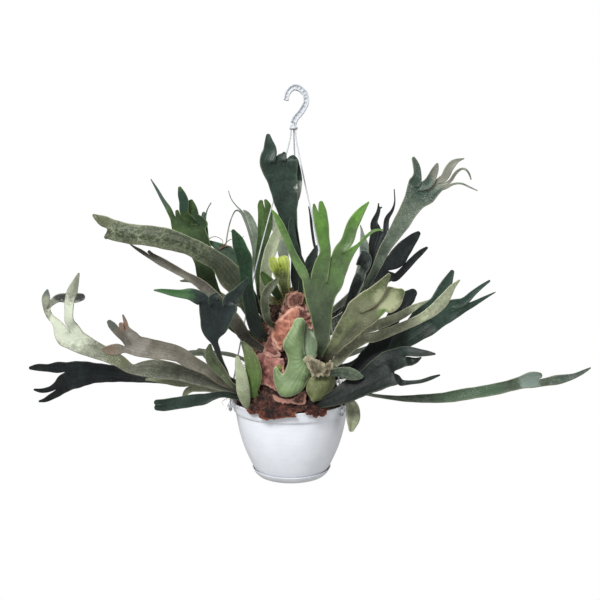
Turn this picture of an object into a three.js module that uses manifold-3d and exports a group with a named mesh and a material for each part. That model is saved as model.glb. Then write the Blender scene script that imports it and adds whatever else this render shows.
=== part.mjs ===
// A staghorn fern in a white plastic hanging pot, in millimetres, +Z up.
// The origin is the centre of the drip tray's flat underside; the front of the plant looks along -Y.
//
// The pot hangs from three strands that run up to one hook. The pot holds potting bark, and on the bark sits
// the mound that the fern has built from its own root and old shield fronds. Green shield fronds lie against
// the mound, and the long forked fronds stand out of it, each with its foot sunk in a socket of the mound.
import * as THREE from 'three';
import { mergeVertices } from 'three/addons/utils/BufferGeometryUtils.js';
import Module from 'manifold-3d';

const wasm = await Module();
wasm.setup();

// ---- Driving dimensions -------------------------------------------------------------------------------

const GAP = 0.35;            // clear space between pieces that touch
const ROUND_SIDES = 30;      // sides of the pot and the tray

const POT_HEIGHT = 133;      // foot of the tray to the rim's top
const RIM_RADIUS = 105;
const COLLAR_HEIGHT = 19;
const POT_WALL = 1.8;
const TRAY_HEIGHT = 13;
const TRAY_RADIUS = 67;
const TRAY_WALL = 1.6;
const DRAIN_RADIUS = 5;
const DRAIN_CIRCLE = 34;
const DRAIN_COUNT = 4;
const BARK_TOP = 118;        // level of the potting bark

const STRAND_RADIUS = 1.2;
const STRAND_SIDES = 6;
const STRAND_STEPS = 12;
const STRAND_BORE = 1.9;     // radius of the hub's holes
const STRAND_BEAD = 3.6;     // the bead under the lug that carries the pot
const STRAND_HEAD = 2.1;     // the bead above the hook's hub
const FIRST_STRAND = 80;     // azimuth of the back strand, degrees from +X
const STRAND_COUNT = 3;
const LUG_REACH = 9;
const LUG_WIDTH = 11;
const LUG_THICK = 5;
const LUG_TOP = 131;
const LUG_BORE = 2.4;

const HUB_ASIDE = 4;         // the hook and its hub hang a little to the right of the pot's middle
const HUB_BOTTOM = 593;
const HUB_THICK = 4;
const HUB_RADIUS = 7;
const HUB_HOLES = 4.2;       // distance of each strand's hole from the hub's middle
const HOOK_TOP = 669;
const HOOK_WIDE = 10;        // width of the moulded section, side to side of the bow
const HOOK_DEEP = 8;         // its depth, front to back

const BLADE = 1.4;           // thickness of a frond's blade
const FOOT = 3.6;            // thickness of its foot
const ROW = 26;              // length of one facet row along a frond
const SHIELD = 1.8;          // thickness of a shield frond

// ---- Solids -------------------------------------------------------------------------------------------

const material = (color, roughness) =>
  new THREE.MeshStandardMaterial({ color, roughness, metalness: 0 });

const finishes = {
  pot: material('#eef0f4', 0.35),
  hanger: material('#e9edf0', 0.3),
  bark: material('#4a2e24', 0.95),
  mound: material('#8a5a48', 0.9),
  oldShield: material('#b98673', 0.85),
  shield: material('#8fae7c', 0.6),
  young: material('#b9cf5a', 0.6),
  bright: material('#7fa254', 0.5),
  sage: material('#97a386', 0.6),
  pale: material('#c3c9b4', 0.7),
  deep: material('#43604f', 0.45),
  slate: material('#3f4a4c', 0.5),
};

/** A three.js geometry as a manifold-3d solid. */
function solidOf(geometry) {
  let g = geometry.clone();
  g.deleteAttribute('normal');
  g.deleteAttribute('uv');
  g = mergeVertices(g, 1e-3);
  return new wasm.Manifold(new wasm.Mesh({
    numProp: 3,
    vertProperties: Float32Array.from(g.attributes.position.array),
    triVerts: Uint32Array.from(g.index.array),
  }));
}

/** A solid as a three.js geometry. */
function geometryOf(solid) {
  const m = solid.getMesh();
  const xyz = new Float32Array(m.numVert * 3);
  for (let i = 0; i < m.numVert; i++) {
    xyz.set(m.vertProperties.subarray(i * m.numProp, i * m.numProp + 3), i * 3);
  }
  const g = new THREE.BufferGeometry();
  g.setAttribute('position', new THREE.BufferAttribute(xyz, 3));
  g.setIndex(new THREE.BufferAttribute(Uint32Array.from(m.triVerts), 1));
  return g;
}

/** The largest body of a solid; loose scraps that a cut leaves are dropped. */
function largest(solid) {
  return solid.decompose().sort((a, b) => b.volume() - a.volume())[0];
}

/** A closed solid turned about +Z from a profile of [radius, height] points with both ends on the axis. */
function turned(profile, sides = ROUND_SIDES) {
  const points = profile.map(([r, z]) => new THREE.Vector2(r, z));
  return solidOf(new THREE.LatheGeometry(points, sides).rotateX(Math.PI / 2));
}

const ball = (radius, centre) =>
  solidOf(new THREE.SphereGeometry(radius, 8, 6)).translate(centre);

const radians = (degrees) => (degrees * Math.PI) / 180;

// ---- Frond blades -------------------------------------------------------------------------------------
// A blade is a ribbon along its rib. Each rib point is [x, y, z, width]. `look` is the way its upper face
// looks, at the start and at the end. At its end a blade may fork into lobes, which are blades themselves:
// they share out the end row between them, and are listed from the side that lies at look x direction.

/** One blade or lobe. */
function blade(rib, look = null, lobes = []) {
  return { rib, look, lobes };
}

/** Uniform Catmull-Rom interpolation of number lists: a at t = 0 and b at t = 1, between p and q. */
function glide(p, a, b, q, t) {
  return a.map((_, k) => 0.5 * (2 * a[k] + (b[k] - p[k]) * t
    + (2 * p[k] - 5 * a[k] + 4 * b[k] - q[k]) * t * t
    + (3 * a[k] - p[k] - 3 * b[k] + q[k]) * t * t * t));
}

const columnsOf = (b, tipColumns) =>
  b.lobes.length ? b.lobes.reduce((sum, lobe) => sum + columnsOf(lobe, tipColumns), 0) : tipColumns;

/**
 * The sheet of one blade and its lobes, as rows of vertices. `grow` widens and lengthens it all round.
 * sheet.points hold {p, thick}; sheet.quads and sheet.tris hold vertex numbers.
 */
function layBlade(sheet, b, look, cup, tipColumns, grow, start = null) {
  const columns = columnsOf(b, tipColumns);
  const lookStart = start ? start.look : new THREE.Vector3(...look[0]).normalize();
  const endLook = start ? b.look : look[1];
  const lookEnd = endLook ? new THREE.Vector3(...endLook).normalize() : lookStart.clone();
  const rib = b.rib.map((p) => [...p]);
  if (start) rib.unshift(start.centre);
  const before = start
    ? rib[0].map((v, k) => (k < 3 ? v - start.run[k] * Math.hypot(
      rib[1][0] - rib[0][0], rib[1][1] - rib[0][1], rib[1][2] - rib[0][2]) : v))
    : rib[0].map((v, k) => 2 * v - rib[1][k]);
  const last = rib.length - 1;
  const after = rib[last].map((v, k) => 2 * v - rib[last - 1][k]);
  const at = (i) => (i < 0 ? before : i > last ? after : rib[i]);

  const samples = [];
  for (let i = 0; i < last; i++) {
    const length = Math.hypot(...[0, 1, 2].map((k) => rib[i + 1][k] - rib[i][k]));
    const steps = Math.max(1, Math.round(length / ROW));
    for (let j = 0; j < steps; j++) samples.push(glide(at(i - 1), at(i), at(i + 1), at(i + 2), j / steps));
  }
  samples.push(rib[last]);

  let row = start ? start.row : null;
  let run = new THREE.Vector3();
  samples.forEach((s, j) => {
    const share = j / (samples.length - 1);
    const a = samples[Math.max(0, j - 1)];
    const c = samples[Math.min(samples.length - 1, j + 1)];
    run = new THREE.Vector3(c[0] - a[0], c[1] - a[1], c[2] - a[2]).normalize();
    if (j === 0 && start) return;
    const facing = lookStart.clone().lerp(lookEnd, share).normalize();
    const side = facing.clone().cross(run).normalize();
    const up = run.clone().cross(side).normalize();
    const half = s[3] / 2 + grow;
    const along = start ? 1 : Math.min(1, (j + 1) / Math.max(3, 0.45 * samples.length));
    const thick = THREE.MathUtils.lerp(FOOT, BLADE, along) + 2 * grow;
    const centre = new THREE.Vector3(s[0], s[1], s[2]);
    if (j === 0) centre.addScaledVector(run, -grow);
    const next = [];
    for (let k = 0; k <= columns; k++) {
      const v = 1 - (2 * k) / columns;
      const p = centre.clone().addScaledVector(side, v * half).addScaledVector(up, cup * half * v * v);
      next.push(sheet.points.push({ p, thick }) - 1);
    }
    if (row) {
      for (let k = 0; k < columns; k++) sheet.quads.push([row[k], row[k + 1], next[k + 1], next[k]]);
    }
    row = next;
  });

  const end = samples[samples.length - 1];
  if (!b.lobes.length) {
    const tip = new THREE.Vector3(end[0], end[1], end[2]).addScaledVector(run, end[3] * 0.4 + grow);
    const point = sheet.points.push({ p: tip, thick: BLADE * 0.8 + 2 * grow }) - 1;
    for (let k = 0; k < columns; k++) sheet.tris.push([row[k], row[k + 1], point]);
    return;
  }
  let first = 0;
  for (const lobe of b.lobes) {
    const count = columnsOf(lobe, tipColumns);
    const part = row.slice(first, first + count + 1);
    first += count;
    const left = sheet.points[part[0]].p;
    const right = sheet.points[part[count]].p;
    const middle = left.clone().add(right).multiplyScalar(0.5);
    layBlade(sheet, lobe, look, cup, tipColumns, grow, {
      row: part,
      centre: [middle.x, middle.y, middle.z, left.distanceTo(right) - 2 * grow],
      run: [run.x, run.y, run.z],
      look: lookEnd,
    });
  }
}

/** Thickens a sheet of quads and triangles into a closed solid, alike on both faces. */
function thickened(sheet) {
  const faces = [...sheet.tris];
  for (const [a, b, c, d] of sheet.quads) faces.push([a, b, c], [a, c, d]);
  const normals = sheet.points.map(() => new THREE.Vector3());
  for (const [a, b, c] of faces) {
    const u = sheet.points[b].p.clone().sub(sheet.points[a].p);
    const n = u.cross(sheet.points[c].p.clone().sub(sheet.points[a].p));
    for (const i of [a, b, c]) normals[i].add(n);
  }
  const count = sheet.points.length;
  const xyz = [];
  for (const side of [0.5, -0.5]) {
    sheet.points.forEach(({ p, thick }, i) => {
      const q = p.clone().addScaledVector(normals[i].clone().normalize(), side * thick);
      xyz.push(q.x, q.y, q.z);
    });
  }
  const edges = new Map();
  for (const f of faces) {
    f.forEach((a, k) => edges.set(`${a},${f[(k + 1) % 3]}`, [a, f[(k + 1) % 3]]));
  }
  const index = [];
  for (const [a, b, c] of faces) index.push(a, b, c, count + a, count + c, count + b);
  for (const [key, [a, b]] of edges) {
    const [u, v] = key.split(',');
    if (!edges.has(`${v},${u}`)) index.push(b, a, count + a, b, count + a, count + b);
  }
  const g = new THREE.BufferGeometry();
  g.setAttribute('position', new THREE.BufferAttribute(Float32Array.from(xyz), 3));
  g.setIndex(index);
  return solidOf(g);
}

/** A frond's solid; grow > 0 gives the room that its foot needs. */
function frondSolid(f, grow = 0) {
  const sheet = { points: [], quads: [], tris: [] };
  layBlade(sheet, f, f.look, f.cup, f.tipColumns, grow);
  return thickened(sheet);
}

const FAN_EYE = [15, -1200, 423];   // the fan of fronds keeps its outline as seen from here

/** A blade and its lobes carried back (or forward, below 0) by `sweep` at their full reach from the foot. */
function swept(b, foot, reach, sweep) {
  const rib = b.rib.map(([x, y, z, width]) => {
    const back = sweep * (Math.hypot(x - foot[0], y - foot[1], z - foot[2]) / reach) ** 2;
    const spread = 1 + back / (y - FAN_EYE[1]);
    return [FAN_EYE[0] + (x - FAN_EYE[0]) * spread, y + back, FAN_EYE[2] + (z - FAN_EYE[2]) * spread,
      width * spread];
  });
  return { ...b, rib, lobes: b.lobes.map((lobe) => swept(lobe, foot, reach, sweep)) };
}

const pointsOf = (b) => [...b.rib, ...b.lobes.flatMap(pointsOf)];

/** A frond: its finish, the looks of its upper face, its rib, its lobes and how far its edges are cupped. */
function frond(finish, look, rib, lobes = [],
  { sweep = 0, cup = 0.15, tipColumns = lobes.length ? 1 : 2 } = {}) {
  const foot = rib[0];
  const far = (p) => Math.hypot(...[0, 1, 2].map((k) => p[k] - foot[k]));
  const reach = Math.max(...pointsOf({ rib, lobes }).map(far));
  return { ...swept({ rib, look, lobes }, foot, reach, sweep), finish, cup, tipColumns };
}

const FRONT = [0, -1, 0.15];
const FRONT_UP = [0, -1, 0.7];
const UP = [0, -0.35, 1];

const fronds = {
  // Left fan: it grows from the pup on the left flank, over the pot's rim.
  antler_left: frond('pale', [FRONT_UP, FRONT],
    [[-84, -46, 152, 9], [-122, -52, 165, 15], [-151, -56, 177, 20], [-187, -58, 189, 26.5],
      [-225, -60, 196, 33], [-246, -60, 196, 25], [-264, -60, 196, 15.5], [-282, -60, 209, 20.5],
      [-301, -61, 219, 24], [-317, -62, 226, 25.5], [-333, -63, 234, 31], [-351, -64, 244, 37.5],
      [-364, -66, 255, 44]],
    [blade([[-381, -68, 273, 14.5], [-392, -68, 284, 10.5], [-397, -68, 296, 10]], [0.2, -1, 0.1], [
      blade([[-397, -70, 312, 13], [-396, -70, 321, 11.5], [-394, -70, 328, 3]]),
      blade([[-386, -50, 312, 14], [-373, -40, 312, 16], [-358, -34, 312, 16], [-350, -32, 313, 11.5]])]),
    blade([[-359, -74, 279, 15.5], [-358, -76, 296, 14.5], [-356, -77, 312, 15.5], [-351, -77, 327, 17],
      [-346, -76, 341, 11.5], [-341, -75, 355, 3]])], { sweep: -25 }),
  forked_left: frond('pale', [FRONT_UP, FRONT],
    [[-76, -54, 158, 9], [-114, -62, 175, 13], [-131, -68, 191, 16.5], [-148, -72, 202, 19.5],
      [-164, -75, 211, 23], [-180, -77, 223, 25], [-199, -79, 229, 28.5], [-220, -80, 232, 30],
      [-234, -80, 235, 31], [-249, -80, 238, 33], [-260, -80, 244, 39.5]],
    [blade([[-278, -79, 232, 19.5], [-293, -78, 231, 17], [-303, -77, 232, 8]]),
    blade([[-267, -88, 251, 10.5], [-277, -92, 264, 13], [-286, -93, 275, 12], [-289, -93, 279, 8]]),
    blade([[-268, -78, 262, 18]], null, [
      blade([[-274, -78, 273, 8]]),
      blade([[-267, -78, 277, 6.5], [-271, -78, 288, 2.5]])])], { sweep: -60 }),
  dark_left: frond('slate', [FRONT_UP, FRONT],
    [[-80, -20, 148, 10], [-158, -8, 163, 14], [-208, 2, 164, 15.5], [-248, 8, 166, 16],
      [-284, 12, 169, 22], [-320, 15, 173, 30], [-356, 18, 173, 39.5], [-381, 20, 170, 48],
      [-396, 20, 167, 53]],
    [blade([[-412, 20, 146, 25]], null, [
      blade([[-427, 20, 130, 11.5], [-438, 20, 124, 8], [-448, 20, 122, 3.5]]),
      blade([[-428, 20, 144, 10], [-443, 20, 141, 8], [-456, 20, 143, 3.5]])]),
    blade([[-413, 20, 183, 19.5], [-431, 20, 182, 14], [-448, 20, 183, 12.5],
      [-462, 20, 182, 5.5]])], { sweep: 70 }),
  low_left: frond('deep', [FRONT_UP, FRONT],
    [[-76, -60, 145, 9], [-110, -66, 155, 10], [-128, -72, 153, 13], [-142, -76, 149, 18],
      [-157, -78, 148, 19.5], [-177, -80, 145, 20.5], [-193, -82, 143, 19.5], [-206, -83, 141, 19.5]],
    [blade([[-218, -84, 138, 10]]),
    blade([[-219, -84, 146, 9]])], { sweep: -50 }),
  under_left: frond('sage', [FRONT_UP, FRONT],
    [[-80, -26, 150, 9], [-128, -28, 156, 13.5], [-150, -28, 160, 18.5], [-165, -28, 162, 22]],
    [blade([[-176, -30, 153, 11], [-182, -30, 145, 7]]),
    blade([[-184, -28, 165, 13.5], [-210, -28, 170, 13.5], [-234, -27, 172, 8.5], [-247, -26, 171, 3.5]])]),
  strap_left: frond('bright', [FRONT, FRONT],
    [[-62, -62, 160, 8], [-94, -84, 173, 8], [-106, -86, 189, 13.5], [-119, -88, 205, 18.5],
      [-128, -90, 220, 18.5], [-131, -90, 233, 13.5], [-129, -90, 241, 5]]),
  kinked_left: frond('slate', [FRONT, FRONT],
    [[-64, -54, 168, 9], [-99, -66, 179, 7.5], [-107, -74, 197, 7.5], [-114, -82, 217, 7.5],
      [-118, -88, 234, 9], [-122, -91, 246, 11], [-124, -93, 256, 27], [-123, -94, 268, 43],
      [-119, -96, 284, 50], [-116, -97, 297, 57], [-114, -97, 307, 63.5]],
    [blade([[-149, -98, 320, 23], [-159, -98, 324, 19], [-172, -98, 324, 13.5], [-187, -98, 326, 10.5],
      [-203, -98, 329, 7], [-215, -98, 330, 2.5]]),
    blade([[-124, -98, 315, 20.5], [-117, -98, 322, 9.5]]),
    blade([[-97, -98, 311, 23.5], [-86, -98, 322, 20], [-77, -98, 335, 12.5],
      [-67, -98, 348, 4.5]])], { sweep: -35 }),
  high_left: frond('deep', [FRONT, FRONT],
    [[-38, -14, 238, 9], [-92, -4, 253, 15.5], [-120, 2, 289, 24], [-141, 6, 323, 31],
      [-148, 8, 351, 32], [-152, 10, 377, 34.5], [-160, 12, 399, 43], [-171, 15, 416, 55.5],
      [-175, 18, 430, 62.5]],
    [blade([[-200, 20, 446, 19]], null, [
      blade([[-213, 22, 462, 9.5], [-222, 23, 476, 6.5], [-232, 24, 494, 5], [-243, 26, 512, 1.5]]),
      blade([[-198, 22, 457, 6]])]),
    blade([[-183, 10, 452, 15.5], [-183, 8, 471, 16.5], [-187, 6, 486, 13], [-190, 6, 496, 6]]),
    blade([[-170, 20, 445, 23.5], [-172, 22, 463, 17.5], [-174, 24, 474, 8.5]])], { sweep: 50 }),
  spear_left: frond('deep', [FRONT, FRONT],
    [[-26, 28, 262, 9], [-80, 48, 318, 12], [-126, 58, 370, 14], [-154, 60, 375, 18],
      [-156, 60, 398, 16], [-157, 60, 421, 15], [-158, 60, 441, 10.5]],
    [blade([[-157, 60, 455, 5.5]]),
    blade([[-153, 62, 455, 2.5], [-149, 62, 465, 1.5], [-144, 62, 473, 1.5]])], { sweep: 45 }),
  strap_long: frond('sage', [FRONT, FRONT],
    [[-38, -42, 220, 9], [-73, -50, 245, 16.5], [-84, -54, 263, 21.5], [-96, -55, 280, 22],
      [-115, -54, 303, 20.5], [-136, -52, 325, 17.5], [-154, -51, 340, 15], [-174, -50, 351, 12.5],
      [-195, -50, 363, 12.5], [-215, -50, 374, 13.5], [-229, -50, 382, 11.5]],
    [blade([[-244, -50, 389, 6.5], [-257, -50, 397, 3.5], [-265, -50, 403, 1.5]]),
    blade([[-233, -48, 389, 5.5]])]),
  mottled_left: frond('sage', [FRONT_UP, FRONT],
    [[-26, -30, 282, 10], [-60, -38, 278, 15], [-78, -42, 317, 31.5], [-98, -46, 347, 41.5],
      [-116, -49, 371, 33], [-141, -52, 386, 31], [-165, -54, 399, 30], [-197, -56, 410, 33.5],
      [-229, -57, 416, 35], [-261, -58, 419, 32.5], [-284, -58, 424, 34], [-295, -58, 427, 35.5]],
    [blade([[-300, -58, 413, 7.5]]),
    blade([[-306, -58, 440, 17], [-319, -58, 448, 5]])], { sweep: -35, cup: -0.3 }),
  blade_left: frond('deep', [FRONT, FRONT],
    [[-34, -40, 240, 9], [-54, -56, 257, 20], [-62, -62, 281, 22], [-67, -68, 308, 21],
      [-71, -72, 336, 20], [-72, -74, 361, 22.5], [-74, -75, 377, 25], [-80, -75, 393, 22.5],
      [-85, -75, 409, 18.5], [-92, -74, 423, 6.5]], [], { sweep: -15 }),
  wispy_left: frond('sage', [FRONT, FRONT],
    [[-18, 10, 280, 9], [-45, 18, 285, 14], [-53, 30, 316, 14], [-58, 38, 344, 16], [-61, 40, 365, 17]],
    [blade([[-66, 40, 391, 7], [-73, 40, 418, 6], [-80, 40, 439, 5.5], [-86, 40, 454, 5.5]], null, [
      blade([[-96, 40, 460, 3], [-102, 36, 453, 2], [-108, 34, 437, 2], [-113, 34, 414, 2],
        [-116, 34, 391, 1.5]], [-1, -1, 0.3]),
      blade([[-97, 42, 467, 2], [-106, 44, 479, 1.5], [-111, 46, 493, 1.5]])]),
    blade([[-61, 42, 390, 11.5], [-63, 42, 411, 11.5], [-66, 42, 428, 12.5], [-73, 42, 445, 10.5],
      [-79, 42, 455, 8], [-84, 42, 459, 2.5]])], { sweep: 40 }),
  twin_left: frond('deep', [FRONT, FRONT],
    [[-16, -2, 292, 9], [-49, 8, 304, 12], [-55, 12, 338, 13], [-56, 14, 370, 14.5],
      [-52, 14, 394, 17.5], [-48, 14, 414, 20.5], [-45, 14, 432, 25]],
    [blade([[-50, 15, 452, 14.5], [-53, 15, 468, 11], [-52, 15, 473, 7.5]]),
    blade([[-38, 10, 452, 12], [-40, 8, 466, 11], [-44, 8, 475, 5]])], { sweep: 15 }),
  felted_left: frond('pale', [FRONT, FRONT],
    [[-10, -14, 300, 9], [-42, -4, 309, 17], [-44, -3, 336, 19.5], [-42, -2, 363, 20.5],
      [-36, 0, 387, 20.5], [-28, 0, 408, 19], [-21, 0, 426, 13], [-17, 0, 438, 5]], [], { sweep: 5 }),

  // Crown: the fronds that stand up from the top of the mound.
  tall_dark: frond('deep', [FRONT, FRONT],
    [[11, -22, 312, 10], [9, -28, 345, 18.5], [10, -33, 372, 18.5], [6, -35, 398, 19],
      [0, -35, 423, 22.5], [-5, -35, 448, 30], [-8, -35, 471, 39], [-11, -35, 493, 46],
      [-16, -35, 516, 55], [-20, -35, 536, 62.5]],
    [blade([[-34, -36, 552, 24.5], [-36, -36, 568, 14.5], [-37, -35, 578, 7.5]]),
    blade([[-12, -35, 545, 15], [-11, -35, 549, 7.5]]),
    blade([[2, -33, 540, 14], [5, -30, 543, 12.5], [8, -26, 535, 10.5], [13, -25, 510, 11],
      [13, -25, 487, 7.5], [12, -25, 475, 2.5]], [0.2, -1, 0.4])], { sweep: -8 }),
  spear_front: frond('deep', [FRONT, FRONT],
    [[14, -24, 306, 8], [19, -50, 362, 10.5], [11, -51, 385, 11.5], [4, -51, 408, 11.5],
      [1, -50, 431, 10.5], [1, -50, 442, 5.5]]),
  bright_fork: frond('bright', [FRONT, FRONT],
    [[44, -52, 214, 9], [51, -84, 240, 17], [50, -92, 266, 27], [49, -98, 290, 34], [47, -100, 311, 42],
      [48, -100, 329, 55], [50, -100, 340, 64.5]],
    [blade([[20, -98, 357, 15], [6, -93, 382, 12], [-5, -88, 409, 10.5], [-15, -84, 431, 10.5],
      [-23, -80, 447, 7], [-30, -78, 456, 2.5]]),
    blade([[49, -102, 368, 25], [55, -102, 390, 18], [52, -101, 409, 18], [49, -99, 431, 22],
      [47, -97, 445, 23.5]], null, [
      blade([[38, -95, 456, 8], [37, -94, 464, 4]]),
      blade([[50, -95, 454, 13.5], [48, -93, 467, 7]])]),
    blade([[75, -101, 367, 31.5], [82, -100, 387, 31.5]], null, [
      blade([[89, -97, 407, 19.5], [97, -93, 431, 19.5], [109, -89, 451, 14], [123, -85, 468, 3]]),
      blade([[106, -102, 401, 5.5], [115, -102, 411, 5], [126, -101, 421, 4.5], [136, -101, 425, 4],
        [145, -100, 425, 2]])])], { sweep: -35 }),
  narrow_back: frond('slate', [FRONT, FRONT],
    [[15, 8, 306, 9], [24, 14, 321, 14], [27, 18, 348, 17.5]],
    [blade([[34, 20, 369, 19], [42, 22, 390, 9.5], [46, 22, 399, 2.5]]),
    blade([[43, 24, 380, 5], [39, 24, 404, 4.5], [35, 24, 432, 4.5], [33, 24, 452, 4],
      [30, 24, 465, 1.5]])], { sweep: 30 }),

  // Right side, high to low.
  antler_right: frond('sage', [FRONT, FRONT],
    [[38, -26, 252, 9], [103, -22, 292, 9.5], [124, -21, 324, 10], [142, -20, 358, 13.5],
      [156, -20, 390, 17.5], [167, -20, 408, 21], [177, -20, 424, 24.5], [187, -20, 440, 27.5],
      [197, -20, 458, 31], [207, -20, 474, 38.5], [216, -20, 486, 50]],
    [blade([[206, -22, 502, 23.5], [210, -23, 516, 13.5], [208, -23, 530, 12.5], [203, -22, 543, 6]]),
    blade([[228, -24, 502, 17.5], [235, -24, 515, 14], [240, -25, 527, 10.5], [242, -25, 533, 5]]),
    blade([[245, -22, 498, 20]], null, [
      blade([[256, -20, 512, 14], [262, -18, 525, 14], [271, -14, 536, 12.5], [280, -10, 541, 6],
        [290, -8, 544, 1.5]]),
      blade([[263, -24, 504, 6], [271, -28, 517, 5.5], [280, -32, 525, 4], [288, -36, 523, 3.5],
        [293, -39, 514, 3], [295, -40, 507, 1.5]], [0.6, -0.6, 0.6]),
      blade([[257, -28, 495, 6.5], [267, -32, 500, 3.5], [280, -36, 501, 3], [292, -40, 495, 2.5],
        [305, -42, 489, 1.5]], [0.2, -0.7, 0.8])])], { sweep: -60 }),
  dark_right_high: frond('slate', [FRONT, FRONT],
    [[32, 22, 246, 9], [102, 30, 293, 12.5], [118, 36, 319, 14], [132, 40, 351, 17.5],
      [142, 40, 379, 23], [150, 40, 404, 26.5], [155, 40, 421, 31]],
    [blade([[145, 40, 436, 13], [152, 40, 454, 7.5], [154, 40, 464, 6]], null, [
      blade([[153, 40, 471, 2]]),
      blade([[158, 40, 464, 3]])]),
    blade([[168, 42, 444, 9], [177, 42, 458, 5.5], [182, 44, 474, 2.5],
      [181, 46, 496, 1.5]])], { sweep: 50 }),
  grey_right: frond('sage', [FRONT, FRONT],
    [[34, 0, 262, 9], [90, 4, 262, 13], [103, 8, 297, 15.5], [115, 10, 328, 17.5], [122, 12, 359, 17.5],
      [126, 12, 383, 16.5], [125, 12, 401, 14.5], [123, 12, 414, 8], [121, 12, 426, 3.5],
      [119, 12, 433, 1.5]], [], { sweep: 25 }),
  curled_right: frond('slate', [FRONT, [-0.2, -0.3, 1]],
    [[42, -20, 244, 8], [84, -27, 260, 10], [93, -33, 288, 12.5], [101, -38, 313, 15],
      [109, -40, 333, 19], [116, -40, 349, 23], [121, -46, 364, 30.5], [118, -49, 378, 29.5]],
      [], { sweep: -10 }),
  dark_fork_right: frond('slate', [FRONT, FRONT],
    [[40, 10, 236, 9], [73, 12, 254, 14], [99, 14, 289, 19], [123, 16, 317, 22.5], [148, 18, 338, 29.5],
      [166, 18, 354, 38.5]],
    [blade([[180, 18, 372, 32], [192, 18, 388, 28.5], [204, 18, 402, 22.5], [214, 18, 413, 15.5],
      [220, 18, 419, 8.5]]),
    blade([[179, 18, 341, 15.5], [190, 18, 350, 12], [202, 18, 363, 12], [215, 18, 377, 11.5],
      [227, 18, 388, 9], [235, 18, 394, 4.5]])], { sweep: 55 }),
  pale_broad: frond('sage', [FRONT, FRONT],
    [[54, -46, 206, 9], [69, -85, 235, 20], [83, -90, 256, 32], [98, -94, 276, 40], [112, -95, 293, 52.5]],
    [blade([[130, -94, 320, 28], [145, -93, 338, 18], [156, -93, 354, 5.5]]),
    blade([[140, -92, 309, 36.5], [155, -88, 314, 44.5], [168, -86, 320, 35],
      [177, -86, 326, 13]])], { sweep: -45 }),
  pale_long: frond('pale', [FRONT_UP, FRONT],
    [[56, -40, 194, 9], [75, -73, 211, 15.5], [94, -80, 238, 23.5], [114, -80, 255, 30]],
    [blade([[138, -77, 271, 15.5], [168, -78, 283, 14.5], [184, -78, 291, 13], [200, -78, 301, 9.5],
      [222, -78, 312, 1.5]]),
    blade([[137, -76, 252, 16], [161, -77, 261, 15.5], [185, -77, 271, 14], [209, -77, 282, 14.5],
      [228, -77, 294, 18], [242, -77, 307, 18.5], [253, -77, 322, 14.5], [260, -77, 333, 9.5],
      [271, -77, 344, 3]])], { sweep: -25 }),
  blue_antler_right: frond('deep', [FRONT_UP, FRONT],
    [[40, -30, 186, 10], [100, -28, 190, 22], [129, -27, 205, 25.5], [159, -26, 222, 30.5],
      [184, -26, 239, 37.5], [208, -27, 256, 43], [229, -28, 274, 50.5]],
    [blade([[246, -28, 303, 27], [256, -28, 324, 22.5], [264, -28, 342, 16], [270, -28, 355, 7.5]]),
    blade([[259, -30, 286, 35.5], [271, -30, 292, 33]], null, [
      blade([[288, -32, 304, 15], [303, -33, 318, 10], [317, -34, 330, 7], [331, -34, 340, 4]]),
      blade([[290, -32, 293, 12.5], [309, -32, 303, 8.5], [327, -32, 313, 5],
        [342, -32, 321, 1.5]])])], { sweep: 15 }),
  dark_round_right: frond('slate', [FRONT, FRONT],
    [[44, -48, 176, 9], [100, -54, 190, 16.5], [124, -54, 213, 25.5], [147, -54, 236, 30.5],
      [161, -53, 262, 25.5], [173, -52, 289, 22.5], [185, -52, 305, 25.5], [195, -52, 316, 24],
      [201, -52, 322, 15]], [], { sweep: 10 }),
  slate_right: frond('slate', [FRONT_UP, FRONT_UP],
    [[34, -80, 136, 9], [47, -88, 144, 16], [71, -94, 155, 26], [98, -97, 170, 38.5],
      [124, -98, 183, 45], [146, -98, 197, 52.5], [161, -97, 205, 60.5]],
    [blade([[182, -96, 223, 33.5]], null, [
      blade([[204, -95, 229, 13.5], [220, -94, 228, 9], [231, -93, 227, 3]]),
      blade([[193, -96, 215, 14.5], [203, -97, 218, 8], [208, -97, 222, 2.5]])]),
    blade([[177, -98, 181, 11], [194, -99, 182, 6.5], [210, -99, 184, 6.5], [224, -99, 189, 6.5],
      [238, -99, 194, 2.5]])], { sweep: -45 }),
  long_right: frond('deep', [[0, -0.6, 1], [0, -1, 0.5]],
    [[62, -42, 142, 9], [109, -46, 152, 6.5], [141, -48, 148, 6.5], [166, -49, 145, 8.5],
      [191, -50, 143, 12.5], [224, -50, 143, 15], [258, -50, 145, 18.5], [291, -50, 150, 20.5],
      [324, -50, 156, 20.5], [349, -50, 161, 20], [369, -50, 166, 20], [386, -50, 171, 21.5],
      [401, -50, 175, 26], [411, -50, 176, 26]],
    [blade([[415, -50, 183, 10]]),
    blade([[426, -50, 172, 14], [442, -50, 175, 16], [457, -50, 178, 13.5], [472, -50, 182, 9],
      [487, -50, 189, 6.5], [499, -50, 196, 2]])], { sweep: -25, cup: 0.25, tipColumns: 2 }),
  scrap_right: frond('pale', [FRONT, FRONT],
    [[48, -56, 186, 7], [76, -104, 200, 14], [94, -108, 198, 20], [108, -108, 194, 13],
      [113, -108, 193, 6]]),
  rim_leaf_right: frond('shield', [UP, [0.5, -1, 0.1]],
    [[72, -44, 138, 8], [93, -58, 141, 15], [101, -68, 135, 21], [102, -76, 118, 24], [99, -80, 100, 10]]),

  shield_felted: frond('pale', [FRONT, FRONT],
    [[-62, -62, 136, 7], [-70, -84, 138, 9], [-76, -90, 161, 19.5], [-79, -92, 188, 19.5],
      [-84, -90, 210, 11.5], [-86, -88, 221, 5]], [], { cup: -0.35 }),

  shield_crescent: frond('shield', [FRONT, FRONT],
    [[-50, -66, 136, 9], [-61, -78, 160, 14.5], [-59, -84, 183, 22], [-62, -84, 207, 24.5],
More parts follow.
